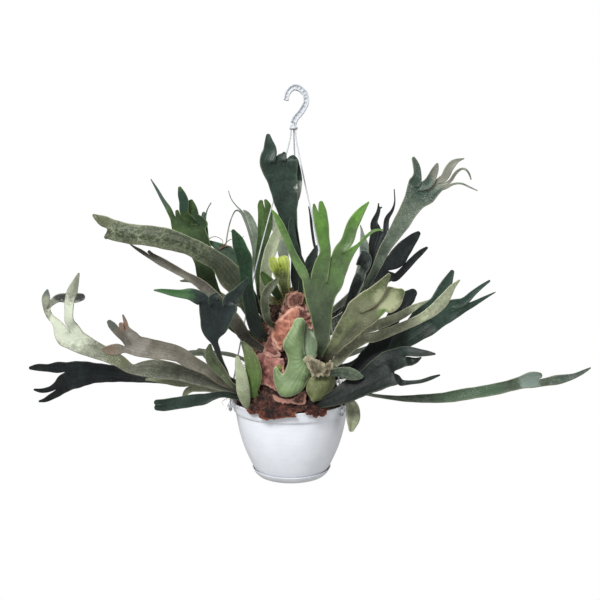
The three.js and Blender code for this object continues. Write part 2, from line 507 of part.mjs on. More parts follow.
      [-69, -80, 228, 17], [-78, -74, 242, 6.5]], [], { cup: -0.35 }),

  tucked_left: frond('deep', [FRONT, FRONT],
    [[-34, 28, 248, 8], [-80, 31, 330, 16], [-94, 32, 360, 24.5], [-108, 33, 381, 26.5],
      [-124, 33, 393, 17.5], [-143, 33, 404, 5.5]], [], { sweep: 10 }),

  // Young growth at the crown.
  young_crown: frond('young', [FRONT, FRONT],
    [[-8, -22, 312, 9], [-12, -38, 334, 16], [-15, -41, 349, 23], [-18, -42, 364, 31.5]],
    [blade([[-30, -42, 375, 13]]),
    blade([[-13, -42, 374, 20.5]])], { cup: 0.45 }),
  young_left: frond('deep', [FRONT, FRONT],
    [[-14, -24, 300, 8], [-30, -46, 331, 15.5], [-38, -50, 341, 16.5], [-47, -50, 354, 6.5]],
      [], { cup: 0.4 }),
  young_shield: frond('sage', [FRONT, FRONT],
    [[-22, -38, 262, 8], [-36, -78, 277, 9.5], [-40, -82, 293, 13], [-42, -82, 310, 13.5],
      [-39, -80, 324, 13.5], [-29, -78, 337, 12], [-19, -76, 347, 5]], [], { cup: 0.3 }),

  // The back of the plant.
  back_high: frond('deep', [[0, 1, 0.3], [0, 1, 0.5]],
    [[-4, 24, 306, 9], [-12, 62, 356, 15], [-18, 98, 400, 22], [-22, 122, 430, 32]],
    [blade([[-10, 138, 452, 14], [-8, 152, 474, 5]]),
    blade([[-40, 140, 450, 14], [-50, 158, 464, 5]])]),
  back_left_high: frond('sage', [[-0.4, 1, 0.6], [-0.3, 1, 0.8]],
    [[-24, 40, 244, 9], [-76, 92, 272, 16], [-128, 142, 294, 25], [-164, 178, 306, 38]],
    [blade([[-174, 216, 318, 16], [-178, 242, 316, 5]]), blade([[-198, 196, 322, 18],
      [-226, 214, 322, 5]])]),
  back_right_high: frond('deep', [[0.4, 1, 0.6], [0.3, 1, 0.8]],
    [[28, 42, 240, 9], [78, 94, 276, 16], [124, 146, 310, 25], [150, 182, 330, 38]],
    [blade([[184, 200, 348, 17], [206, 226, 356, 5]]), blade([[154, 222, 344, 17], [150, 256, 342, 5]])]),
  back_left_low: frond('slate', [[-0.4, 1, 0.7], [-0.3, 1, 0.9]],
    [[-48, 44, 166, 10], [-96, 88, 186, 17], [-144, 132, 188, 28], [-172, 160, 184, 38]],
    [blade([[-178, 200, 176, 17], [-180, 232, 160, 5]]), blade([[-206, 172, 180, 17],
      [-238, 186, 168, 5]])]),
  back_right_low: frond('slate', [[0.4, 1, 0.7], [0.3, 1, 0.9]],
    [[50, 42, 162, 10], [98, 86, 188, 17], [146, 128, 198, 28], [172, 156, 198, 38]],
    [blade([[204, 170, 196, 17], [236, 184, 184, 5]]), blade([[180, 196, 190, 17], [182, 230, 176, 5]])]),
  back_middle: frond('sage', [[0, 1, 0.8], [0, 1, 0.9]],
    [[0, 62, 176, 10], [2, 118, 204, 17], [6, 172, 206, 28], [8, 204, 198, 40]],
    [blade([[28, 234, 186, 18], [42, 262, 164, 5]]), blade([[-14, 236, 188, 18], [-26, 266, 166, 5]])]),
};

// ---- The mound ----------------------------------------------------------------------------------------

// Radius of the mound at each height above the bark.
const moundProfile = [
  [93, 118], [95, 124], [95.5, 132], [89, 146], [78, 162], [68, 184], [62, 210], [56, 240], [48, 270],
    [38, 296], [24, 316], [8, 326],
];
const MOUND_TOP = 329;

// The young plants that swell its flanks, where most of the fronds rise.
const pups = [
  { azimuth: -141, z: 162, out: 22, breadth: 26, height: 34 },
  { azimuth: -52, z: 204, out: 15, breadth: 24, height: 28 },
];
const MOUND_SIDES = 22;

/** The mound's radius at a height, between the profile's points. */
function moundRadius(z) {
  const i = Math.max(1, moundProfile.findIndex(([, h]) => h >= z));
  const [r0, z0] = moundProfile[i - 1];
  const [r1, z1] = moundProfile[i];
  return r0 + ((r1 - r0) * (z - z0)) / (z1 - z0);
}

/** How near a direction is to another, 1 to 0, over a breadth in degrees. */
function nearness(angle, degrees, breadth) {
  const off = Math.atan2(Math.sin(angle - radians(degrees)), Math.cos(angle - radians(degrees)));
  return Math.exp(-((off / radians(breadth)) ** 2));
}

/** A point of the mound's surface: old shields make it swell and pinch, and pups bulge from it. */
function moundPoint(azimuth, z) {
  const lumps = 0.05 * Math.sin(3 * azimuth + z / 34) + 0.035 * Math.sin(5 * azimuth - z / 17);
  let r = moundRadius(z) * (1 + lumps * THREE.MathUtils.smoothstep(z, 132, 160));
  for (const pup of pups) {
    r += pup.out * nearness(azimuth, pup.azimuth, pup.breadth) * Math.exp(-(((z - pup.z) / pup.height) ** 2))
      * THREE.MathUtils.smoothstep(z, 132, 146);
  }
  const lean = THREE.MathUtils.smoothstep(z, 180, MOUND_TOP);
  return new THREE.Vector3(r * Math.cos(azimuth) + 6 * lean, r * Math.sin(azimuth) - 8 * lean, z);
}

function moundSolid() {
  const xyz = [0, 0, moundProfile[0][1]];
  for (const [, z] of moundProfile) {
    for (let i = 0; i < MOUND_SIDES; i++) {
      const p = moundPoint((i / MOUND_SIDES) * 2 * Math.PI, z);
      xyz.push(p.x, p.y, p.z);
    }
  }
  xyz.push(6, -8, MOUND_TOP);
  const rings = moundProfile.length;
  const top = 1 + rings * MOUND_SIDES;
  const vertex = (ring, i) => 1 + ring * MOUND_SIDES + (i % MOUND_SIDES);
  const index = [];
  for (let i = 0; i < MOUND_SIDES; i++) {
    index.push(0, vertex(0, i + 1), vertex(0, i));
    for (let ring = 0; ring < rings - 1; ring++) {
      index.push(vertex(ring, i), vertex(ring, i + 1), vertex(ring + 1, i + 1));
      index.push(vertex(ring, i), vertex(ring + 1, i + 1), vertex(ring + 1, i));
    }
    index.push(vertex(rings - 1, i), vertex(rings - 1, i + 1), top);
  }
  const g = new THREE.BufferGeometry();
  g.setAttribute('position', new THREE.BufferAttribute(Float32Array.from(xyz), 3));
  g.setIndex(index);
  return solidOf(g);
}

// ---- Shield fronds ------------------------------------------------------------------------------------
// A shield is a rounded plate that lies on the mound. It is laid out in a disc of spokes and rings round its
// middle at `at` = [azimuth in degrees, height], `wide` and `tall` across, `out` from the mound at its middle
// and `lift` further out at its edge. `root` is the direction in degrees of the edge that joins the mound,
// `notch` = [direction, depth, breadth] is the bay in its edge, and `scallops` are the waves of its edge.
// With `lap`, it lies over the pot's rim: its height is then the way inwards from the rim's edge.

function shield(finish, at, wide, tall, { out = 1, lift = 3, notch = null, lean = 0, root = -90, lap = false,
  scallops = [0, 0], outline = null } = {}) {
  return { finish, at, wide, tall, out, lift, notch, lean, root, lap, scallops, outline };
}

const SPOKES = 18;
const RINGS = 3;

// The way from the mound over the rim and down outside it, as [way, radius, height].
const lapLine = [[-26, 111, 110], [-8, 110, 128], [0, 107.5, 136], [8, 101, 140.5], [18, 89, 147],
  [34, 78, 160]];

function lapPoint(azimuth, way) {
  const i = THREE.MathUtils.clamp(lapLine.findIndex(([w]) => w >= way), 1, lapLine.length - 1);
  const [w0, r0, z0] = lapLine[i - 1];
  const [w1, r1, z1] = lapLine[i];
  const t = (way - w0) / (w1 - w0);
  const r = r0 + (r1 - r0) * t;
  return new THREE.Vector3(r * Math.cos(azimuth), r * Math.sin(azimuth), z0 + (z1 - z0) * t);
}

/** The distance of a shield's outline from its middle at an angle, between [degrees, distance] points. */
function outlineAt(outline, angle) {
  const degrees = (angle * 180) / Math.PI;
  const i = outline.findLastIndex(([d]) => d <= degrees + 1e-6);
  const [d0, r0] = outline[i];
  const [d1, r1] = outline[i + 1] ?? [outline[0][0] + 360, outline[0][1]];
  return r0 + ((r1 - r0) * (degrees - d0)) / (d1 - d0);
}

function shieldSolid(s, grow = 0) {
  const sheet = { points: [], quads: [], tris: [] };
  const azimuth = radians(s.at[0]);
  const place = (across, up, out) => {
    if (s.lap) return lapPoint(azimuth + across / RIM_RADIUS, s.at[1] + up).add(new THREE.Vector3(0, 0, out));
    const z = THREE.MathUtils.clamp(s.at[1] + up, moundProfile[0][1] + 4, MOUND_TOP - 6);
    const p = moundPoint(azimuth + across / Math.max(moundRadius(z), 30), z);
    const away = new THREE.Vector3(p.x, p.y, 0).normalize();
    return p.addScaledVector(away, out).add(new THREE.Vector3(0, 0, s.at[1] + up - z));
  };
  const thick = SHIELD + 2 * grow;
  const lean = radians(s.lean);
  const middle = sheet.points.push({ p: place(0, 0, s.out), thick }) - 1;
  const rings = [];
  for (let ring = 1; ring <= RINGS; ring++) {
    const share = ring / RINGS;
    rings.push([]);
    for (let i = 0; i < SPOKES; i++) {
      const a = (i / SPOKES) * 2 * Math.PI;
      let reach = 1 + s.scallops[1] * share * Math.cos(s.scallops[0] * a);
      if (s.notch) reach -= s.notch[1] * nearness(a, s.notch[0], s.notch[2]);
      const x = ((s.outline ? outlineAt(s.outline, a) : s.wide / 2) + grow) * reach * share * Math.cos(a);
      const y = ((s.outline ? outlineAt(s.outline, a) : s.tall / 2) + grow) * reach * share * Math.sin(a);
      const across = x * Math.cos(lean) - y * Math.sin(lean);
      const up = x * Math.sin(lean) + y * Math.cos(lean);
      const rooted = share ** 2 * nearness(a, s.root, 40);
      const out = THREE.MathUtils.lerp(s.out + s.lift * share ** 3, -1, s.lap ? 0 : rooted);
      rings[ring - 1].push(sheet.points.push({ p: place(across, up, out), thick }) - 1);
    }
  }
  for (let i = 0; i < SPOKES; i++) {
    const j = (i + 1) % SPOKES;
    sheet.tris.push([middle, rings[0][i], rings[0][j]]);
    for (let ring = 0; ring < RINGS - 1; ring++) {
      sheet.quads.push([rings[ring][i], rings[ring + 1][i], rings[ring + 1][j], rings[ring][j]]);
    }
  }
  return thickened(sheet);
}

const shields = {
  shield_kidney: shield('shield', [-89, 216], 58, 122, { out: 15, lift: -2, outline: [[0, 21], [40, 25],
    [62, 46], [76, 64], [90, 66], [104, 52], [118, 33], [136, 19], [165, 11], [180, 13], [196, 33],
      [210, 42],
    [228, 48], [249, 55], [265, 59], [282, 52], [301, 41], [326, 27]] }),
  shield_behind: shield('shield', [-63, 248], 38, 82, { out: 7, lift: 2, lean: 6 }),
  shield_right: shield('shield', [-59, 175], 52, 50, { out: 13, lift: -4 }),
  old_shield_front: shield('oldShield', [-110, 197], 80, 76, { out: 3, lift: 2, notch: [35, 0.3, 30] }),
  old_shield_upper: shield('oldShield', [-94, 278], 66, 90,
    { out: 3, lift: 3, notch: [60, 0.2, 26], lean: 24 }),
  old_shield_left: shield('oldShield', [-118, 244], 40, 52,
    { out: 6, lift: 3, notch: [-70, 0.3, 24], lean: -10 }),
  old_rim_left: shield('oldShield', [-106, 4], 96, 36, { out: 0, lift: 2, lap: true, scallops: [7, 0.1] }),
  old_rim_right: shield('oldShield', [-66, 4], 46, 32, { out: 0, lift: 2, lap: true, scallops: [5, 0.1] }),
};

// ---- The pot, its tray and the bark -------------------------------------------------------------------

// Outer radius of the pot's wall at each height above its own floor.
const potOutside = [
  [60.5, TRAY_HEIGHT * 0.25], [65.6, TRAY_HEIGHT], [71, 23], [79.5, 42], [86, 60], [92, 83],
    [97.5, POT_HEIGHT - COLLAR_HEIGHT],
];
const POT_FLOOR = TRAY_WALL + GAP;

function potSolid() {
  const outer = [[0, POT_FLOOR], [59, POT_FLOOR], ...potOutside,
    [100.5, POT_HEIGHT - COLLAR_HEIGHT + 1], [RIM_RADIUS, POT_HEIGHT - 1.5], [RIM_RADIUS - 1, POT_HEIGHT]];
  const inner = [[RIM_RADIUS - 3.4, POT_HEIGHT], [96, POT_HEIGHT - COLLAR_HEIGHT]];
  for (const [r, z] of potOutside.slice(0, -1).reverse()) {
    inner.push([r - POT_WALL, Math.max(z, POT_FLOOR + POT_WALL)]);
  }
  let pot = turned([...outer, ...inner, [0, POT_FLOOR + POT_WALL]]);
  for (let i = 0; i < DRAIN_COUNT; i++) {
    const a = (i / DRAIN_COUNT) * 2 * Math.PI;
    const drain = solidOf(new THREE.CylinderGeometry(DRAIN_RADIUS, DRAIN_RADIUS, 12, 8).rotateX(Math.PI / 2));
    pot = pot.subtract(drain.translate([DRAIN_CIRCLE * Math.cos(a), DRAIN_CIRCLE * Math.sin(a), POT_FLOOR]));
  }
  for (const a of strandAzimuths()) {
    const lug = solidOf(new THREE.BoxGeometry(LUG_REACH + 3, LUG_WIDTH, LUG_THICK));
    const hole = solidOf(new THREE.CylinderGeometry(LUG_BORE, LUG_BORE, 20, 10).rotateX(Math.PI / 2));
    const turn = (solid, radius, z) => solid.translate([radius, 0, z]).rotate([0, 0, a]);
    pot = pot.add(turn(lug, RIM_RADIUS + LUG_REACH / 2 - 2, LUG_TOP - LUG_THICK / 2));
    pot = pot.subtract(turn(hole, RIM_RADIUS + LUG_REACH / 2, LUG_TOP));
  }
  return pot;
}

function traySolid() {
  const outside = [[0, 0], [56, 0], [60, 1], [65, 6], [TRAY_RADIUS + 1.8, TRAY_HEIGHT]];
  const inside = [[TRAY_RADIUS + 0.4, TRAY_HEIGHT], [63.4, 6], [60.4, TRAY_WALL], [0, TRAY_WALL]];
  return turned([...outside, ...inside]);
}

function barkSolid() {
  const side = potOutside.slice(1, -1).map(([r, z]) => [r - POT_WALL - GAP, z]);
  const floor = POT_FLOOR + POT_WALL + GAP;
  return turned([[0, floor], [58, floor], ...side, [94, BARK_TOP - 6], [94, BARK_TOP - GAP],
    [0, BARK_TOP - GAP]], ROUND_SIDES / 2);
}

// ---- The hanger ---------------------------------------------------------------------------------------

function strandAzimuths() {
  return Array.from({ length: STRAND_COUNT }, (_, i) => FIRST_STRAND + (i * 360) / STRAND_COUNT);
}

/**
 * One strand: its head rests on the hub, and its bead carries the lug from below. It lies in the upright
 * plane at its azimuth, and `bow` pushes its middle out.
 */
function strandSolid(azimuth, bow) {
  const lug = RIM_RADIUS + LUG_REACH / 2;
  const head = HUB_BOTTOM + HUB_THICK + STRAND_HEAD * 0.8;
  const bead = LUG_TOP - LUG_THICK - STRAND_BEAD;
  const bend = new THREE.CatmullRomCurve3([
    [HUB_HOLES, HUB_BOTTOM - 1], [HUB_HOLES + 1, HUB_BOTTOM - 12], [HUB_HOLES + 9, HUB_BOTTOM - 44],
    [lug * 0.52 + bow, HUB_BOTTOM * 0.61], [lug - 3, LUG_TOP + 26], [lug, LUG_TOP + 3],
  ].map(([r, z]) => new THREE.Vector3(r, 0, z)), false, 'centripetal').getPoints(STRAND_STEPS);
  const line = [new THREE.Vector3(HUB_HOLES, 0, head), ...bend, new THREE.Vector3(lug, 0, bead)];
  const xyz = [];
  line.forEach((p, i) => {
    const run = line[Math.min(i + 1, line.length - 1)].clone().sub(line[Math.max(i - 1, 0)]).normalize();
    for (let k = 0; k < STRAND_SIDES; k++) {
      const a = (k / STRAND_SIDES) * 2 * Math.PI;
      const out = STRAND_RADIUS * Math.cos(a);
      xyz.push(p.x - run.z * out, STRAND_RADIUS * Math.sin(a), p.z + run.x * out);
    }
  });
  const index = [];
  for (let i = 0; i < line.length - 1; i++) {
    for (let k = 0; k < STRAND_SIDES; k++) {
      const [a, b] = [i * STRAND_SIDES + k, i * STRAND_SIDES + ((k + 1) % STRAND_SIDES)];
      index.push(a, b + STRAND_SIDES, b, a, a + STRAND_SIDES, b + STRAND_SIDES);
    }
  }
  const end = (line.length - 1) * STRAND_SIDES;
  for (let k = 1; k < STRAND_SIDES - 1; k++) index.push(0, k, k + 1, end, end + k + 1, end + k);
  const g = new THREE.BufferGeometry();
  g.setAttribute('position', new THREE.BufferAttribute(Float32Array.from(xyz), 3));
  g.setIndex(index);
  return solidOf(g).add(ball(STRAND_HEAD, [HUB_HOLES, 0, head + 0.4])).add(ball(STRAND_BEAD, [lug, 0, bead]))
    .rotate([0, 0, azimuth])
    .warp((v) => { v[0] += HUB_ASIDE * Math.max(0, v[2] - LUG_TOP) / (HUB_BOTTOM - LUG_TOP); });
}

// Middle line of the hook, from the hub up the shank and over the bow to the tip, in the XZ plane.
const hookLine = [[0, 603.5], [4, 612], [14, 624], [21, 638], [19, 652], [9, 661], [-1, 661.5], [-9.5, 653],
  [-12.5, 641]];

/** The hook: a tapering moulded section along its line, on a hub with a hole for each strand. */
function hookSolid() {
  const path = new THREE.CatmullRomCurve3(hookLine.map(([x, z]) => new THREE.Vector3(x, 0, z)));
  const section = new THREE.Shape();
  const wide = HOOK_WIDE / 2;
  const deep = HOOK_DEEP / 2;
  const web = 1.3;
  const outline = [[wide, -deep], [wide, deep], [wide - 2, deep], [web, web], [-web, web], [2 - wide, deep],
    [-wide, deep], [-wide, -deep], [2 - wide, -deep], [-web, -web], [web, -web], [wide - 2, -deep]];
  outline.forEach(([x, y], i) => (i ? section.lineTo(x, y) : section.moveTo(x, y)));
  const sweep = { steps: 22, extrudePath: path, bevelEnabled: false };
  let hook = solidOf(new THREE.ExtrudeGeometry(section, sweep));
  hook = hook.add(turned([[0, HUB_BOTTOM], [HUB_RADIUS, HUB_BOTTOM], [HUB_RADIUS, HUB_BOTTOM + HUB_THICK],
    [0, HUB_BOTTOM + HUB_THICK]], 20));
  hook = hook.add(turned([[0, HUB_BOTTOM + 1], [1.7, HUB_BOTTOM + 1], [1.7, 606], [0, 606]], 10));
  for (const a of strandAzimuths()) {
    const bore = solidOf(new THREE.CylinderGeometry(STRAND_BORE, STRAND_BORE, 10, 10).rotateX(Math.PI / 2));
    hook = hook.subtract(bore.translate([HUB_HOLES, 0, HUB_BOTTOM]).rotate([0, 0, a]));
  }
  return hook.translate([HUB_ASIDE, 0, 0]);
}

// ---- Assembly -----------------------------------------------------------------------------------------

const plant = new THREE.Group();

function addNode(name, solid, finish) {
  const mesh = new THREE.Mesh(geometryOf(solid), finishes[finish]);
  mesh.name = name;
  plant.add(mesh);
}

addNode('pot', potSolid(), 'pot');
addNode('drip_tray', traySolid(), 'pot');
addNode('potting_bark', barkSolid(), 'bark');
addNode('hook', hookSolid(), 'hanger');
const bows = [0, 8, 8];
const strandNames = ['strand_back', 'strand_left', 'strand_right'];
const strands = strandAzimuths().map((a, i) => strandSolid(a, bows[i]));
strands.forEach((strand, i) => addNode(strandNames[i], strand, 'hanger'));

// Each layer is cut clear of what lies on it: the shields of the fronds, and the mound of both.
const frondRooms = Object.values(fronds).map((f) => frondSolid(f, GAP));
const clearOf = (solid, rooms) => rooms.reduce((left, room) => left.subtract(room), solid);
const shieldRooms = [];
for (const [name, s] of Object.entries(shields)) {
  addNode(name, largest(clearOf(shieldSolid(s), [...frondRooms, ...shieldRooms])), s.finish);
  shieldRooms.push(shieldSolid(s, GAP));
}
addNode('root_mound', largest(clearOf(moundSolid(), [...frondRooms, ...shieldRooms])), 'mound');
for (const [name, f] of Object.entries(fronds)) addNode(name, frondSolid(f), f.finish);

export default plant;
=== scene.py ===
# %% [markdown]
# # A staghorn fern in a hanging pot
# A staghorn fern grows on a mound of its own old shield fronds and roots. This one stands in a white plastic
# pot that hangs from three strands and a moulded hook. The solids of the CAD model give every place and
# size. Each cell below makes one piece over its solid, and says how the real one is made or grown.

# %% Load the frame
import math

import bpy
import numpy as np
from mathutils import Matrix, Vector
from mathutils.geometry import delaunay_2d_cdt


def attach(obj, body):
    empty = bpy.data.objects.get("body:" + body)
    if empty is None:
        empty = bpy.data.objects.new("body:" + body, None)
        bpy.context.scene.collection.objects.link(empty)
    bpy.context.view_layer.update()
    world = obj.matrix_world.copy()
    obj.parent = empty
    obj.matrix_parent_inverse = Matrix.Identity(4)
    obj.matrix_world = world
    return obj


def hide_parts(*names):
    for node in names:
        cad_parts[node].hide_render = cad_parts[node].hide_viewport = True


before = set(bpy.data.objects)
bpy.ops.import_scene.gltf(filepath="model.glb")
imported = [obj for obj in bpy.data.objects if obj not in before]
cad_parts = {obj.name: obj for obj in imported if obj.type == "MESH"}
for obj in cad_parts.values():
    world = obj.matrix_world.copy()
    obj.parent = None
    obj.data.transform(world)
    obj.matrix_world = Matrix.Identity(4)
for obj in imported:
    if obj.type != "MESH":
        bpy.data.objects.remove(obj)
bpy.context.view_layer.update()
MM = 0.001
TURN = 2 * np.pi

# %% [markdown]
# Colours are chosen as sRGB hex values, as a painter reads them off a chart, but shaders work with linear
# light. One function turns the one into the other.

# %% Colour


def paint(tone):
    """Linear RGBA of a grey level or an sRGB hex colour, where c becomes ((c + 0.055) / 1.055) ** 2.4."""
    if not isinstance(tone, str):
        return [tone] * 3 + [1.0]
    channels = [int(tone[i:i + 2], 16) / 255 for i in (1, 3, 5)]
    return [c / 12.92 if c <= 0.04045 else ((c + 0.055) / 1.055) ** 2.4 for c in channels] + [1.0]


print("mid grey as linear light", paint("#808080")[0])

# %% [markdown]
# A material is a small network of nodes. One function adds a node, sets its values and links what feeds it.
# What a node gives can stand in a sum, which adds the nodes for it, so each material reads as a recipe.

# %% Add a node


class Wire:
    """What a node gives. A sum of it and a number or another wire is a wire too."""

    def __init__(self, socket):
        self.socket = socket

    def reckon(self, other, operation):
        return add(self.socket.id_data, "Math", [self, other], operation=operation)

    def __add__(self, other):
        return self.reckon(other, "ADD")

    def __sub__(self, other):
        return self.reckon(other, "SUBTRACT")

    def __mul__(self, other):
        return self.reckon(other, "MULTIPLY")


def feed(node, feeds):
    """Sets a node's inputs, by name or in order, each to a value, a tone or a wire."""
    for name, value in feeds.items() if isinstance(feeds, dict) else enumerate(feeds):
        slot = node.inputs[name]
        if isinstance(value, Wire):
            node.id_data.links.new(value.socket, slot)
        else:
            slot.default_value = paint(value) if slot.type == "RGBA" else value


def add(tree, kind, feeds=(), out=0, stops=(), **settings):
    """Adds one node; out is the output that it gives, and stops are a ramp's places and tones."""
    node = tree.nodes.new("ShaderNode" + kind)
    for name, value in settings.items():
        setattr(node, name, value)
    feed(node, feeds)
    while stops and len(node.color_ramp.elements) < len(stops):
        node.color_ramp.elements.new(0.5)
    for number, (place, tone) in enumerate(stops):
        node.color_ramp.elements[number].position = place
        node.color_ramp.elements[number].color = paint(tone)
    return Wire(node.outputs[out]) if node.outputs else node


def material(name):
    """A new material and its empty tree."""
    made = bpy.data.materials.new(name)
    made.use_nodes = True
    made.node_tree.nodes.clear()
    return made, made.node_tree


def grain(where, size_mm, detail=3.0, rough=0.55):
    """What feeds a noise whose patches are about size_mm across."""
    return {"Vector": where, "Scale": 1 / (size_mm * MM), "Detail": detail, "Roughness": rough}


def bump(height, depth_mm, strength):
    """What feeds a bump of about depth_mm."""
    return {"Height": height, "Distance": depth_mm * MM, "Strength": strength}


print("noise 10 mm across has scale", grain(None, 10)["Scale"])

# %% [markdown]
# A frond of a staghorn fern is a thick, leathery blade. Stellate hairs lie on it as a pale scurf that rubs
# off with age: young and pale fronds wear a whole felt of it, and old dark ones only dust. Its veins fork as
# the blade does. The blade carries a map whose first axis counts the columns that become the lobes, so lines
# on that axis fork with it. Three values ride on it too: `along`, from foot to tip, `edge`, which is 1 on
# the margin, and `side`, from one margin to the other.

# %% Frond finishes


def leaf(name, tones, hairs, rough, vein_share=0.2, painted_shade_half=0.0, sheen=0.05, gloss=0.35, blotches=None,
         mottle=(0.55, 1.25), band=None, patches=()):
    """A leathery blade. Its tones are foot, middle, tip, hairs, veins and margin; the foot's tone is also
    the painted shade on one half of a folded blade. A patch of another tone is (centre, radius in mm, tone)."""
    foot, middle, tip, felt, veins, margin = tones.split()
    made, tree = material(name)
    where = add(tree, "TexCoord", out="Object")
    grid = add(tree, "UVMap", uv_map="columns")
    along, edge, side = (add(tree, "Attribute", attribute_name=value, out="Fac")
                         for value in ("along", "edge", "side"))
    broad = add(tree, "TexNoise", grain(where, 36))
    fine = add(tree, "TexNoise", grain(where, 6, 4, 0.6))
    # The three tones follow the blade, and clouds about 36 mm across shift them.
    way = along + (broad - 0.5) * 0.6
    tone = add(tree, "ValToRGB", [way], stops=[(0.06, foot), (0.5, middle), (0.96, tip)])
    if band:
        belt = add(tree, "ValToRGB", [way], stops=[(0.7, 0.0), (0.76, 1.0), (0.82, 1.0), (0.9, 0.0)])
        tone = add(tree, "MixRGB", [belt, tone, band])
    # Mottling darkens or lifts the tone, and painted shade darkens one half of a folded blade.
    cloud = add(tree, "ValToRGB", [broad * 0.6 + fine * 0.4], stops=[(0.4, mottle[0]), (0.62, mottle[1])])
    tone = add(tree, "MixRGB", [1.0, tone, cloud], blend_type="MULTIPLY")
    if painted_shade_half:
        half = add(tree, "ValToRGB", [side + (broad - 0.5) * 0.5], stops=[(0.42, 1.0), (0.6, 0.0)])
        tone = add(tree, "MixRGB", [half * painted_shade_half, tone, foot])
    if blotches:
        specks = add(tree, "TexNoise", grain(where, 5, 4, 0.72))
        specks = add(tree, "ValToRGB", [specks], stops=[(0.46, 0.0), (0.53, 1.0)])
        shade = add(tree, "ValToRGB", [side], stops=[(0.05, 0.8), (0.6, 1.0), (0.9, 0.5)])
        tone = add(tree, "MixRGB", [specks * shade * 0.95, tone, blotches])
    for centre, radius, patch in patches:
        centre = tuple(c * MM for c in centre)
        near = add(tree, "VectorMath", [where, centre], out="Value", operation="DISTANCE")
        near = (near + (fine - 0.5) * (radius * MM)) * (0.5 / (radius * MM))
        near = add(tree, "ValToRGB", [near], stops=[(0.34, 1.0), (0.52, 0.0)])
        tone = add(tree, "MixRGB", [near, tone, patch])
    # Veins: one each 2 mm or so across, a little wandering, so their lines show as they fork.
    drift = add(tree, "TexNoise", grain(where, 25, 2, 0.5), out="Color")
    across = add(tree, "SeparateXYZ", [add(tree, "MixRGB", [0.05, grid, drift])])
    lines = add(tree, "Math", [across * (TURN * 3)], operation="SINE")
    vein = add(tree, "ValToRGB", [lines * 0.5 + 0.5], stops=[(0.84, 0.0), (1.0, 1.0)])
    vein = vein * add(tree, "ValToRGB", [fine], stops=[(0.42, 0.2), (0.6, 1.0)])
    tone = add(tree, "MixRGB", [vein * vein_share, tone, veins])
    # Scurf: flecks of hair about 0.5 mm across, drawn three times coarser than the real ones so they show.
    flecks = add(tree, "ValToRGB", [add(tree, "TexNoise", grain(where, 1.7, 3, 0.75))],
                 stops=[(0.46, 0.0), (0.62, 1.0)])
    drift = add(tree, "ValToRGB", [add(tree, "TexNoise", grain(where, 22, 3, 0.6)) + edge * 0.14],
                stops=[(0.46, 0.1), (0.66, 1.0)])
    tone = add(tree, "MixRGB", [flecks * drift * hairs, tone, felt])
    # The pale line on the margin is partly scurf along the edge and partly painted highlight.
    rim = add(tree, "ValToRGB", [edge + fine * 0.2], stops=[(0.92, 0.0), (1.0, 1.0)])
    tone = add(tree, "MixRGB", [rim * 0.7, tone, margin])
    body = add(tree, "BsdfPrincipled", {
        "Base Color": tone, "Roughness": fine * 0.24 + (rough - 0.1), "IOR": 1.45,
        "Specular IOR Level": gloss, "Sheen Weight": sheen, "Sheen Roughness": 0.5,
        "Normal": add(tree, "Bump", bump(vein * 0.35 + fine * 0.9, 0.9, 0.6))})
    add(tree, "OutputMaterial", [body])
    return made


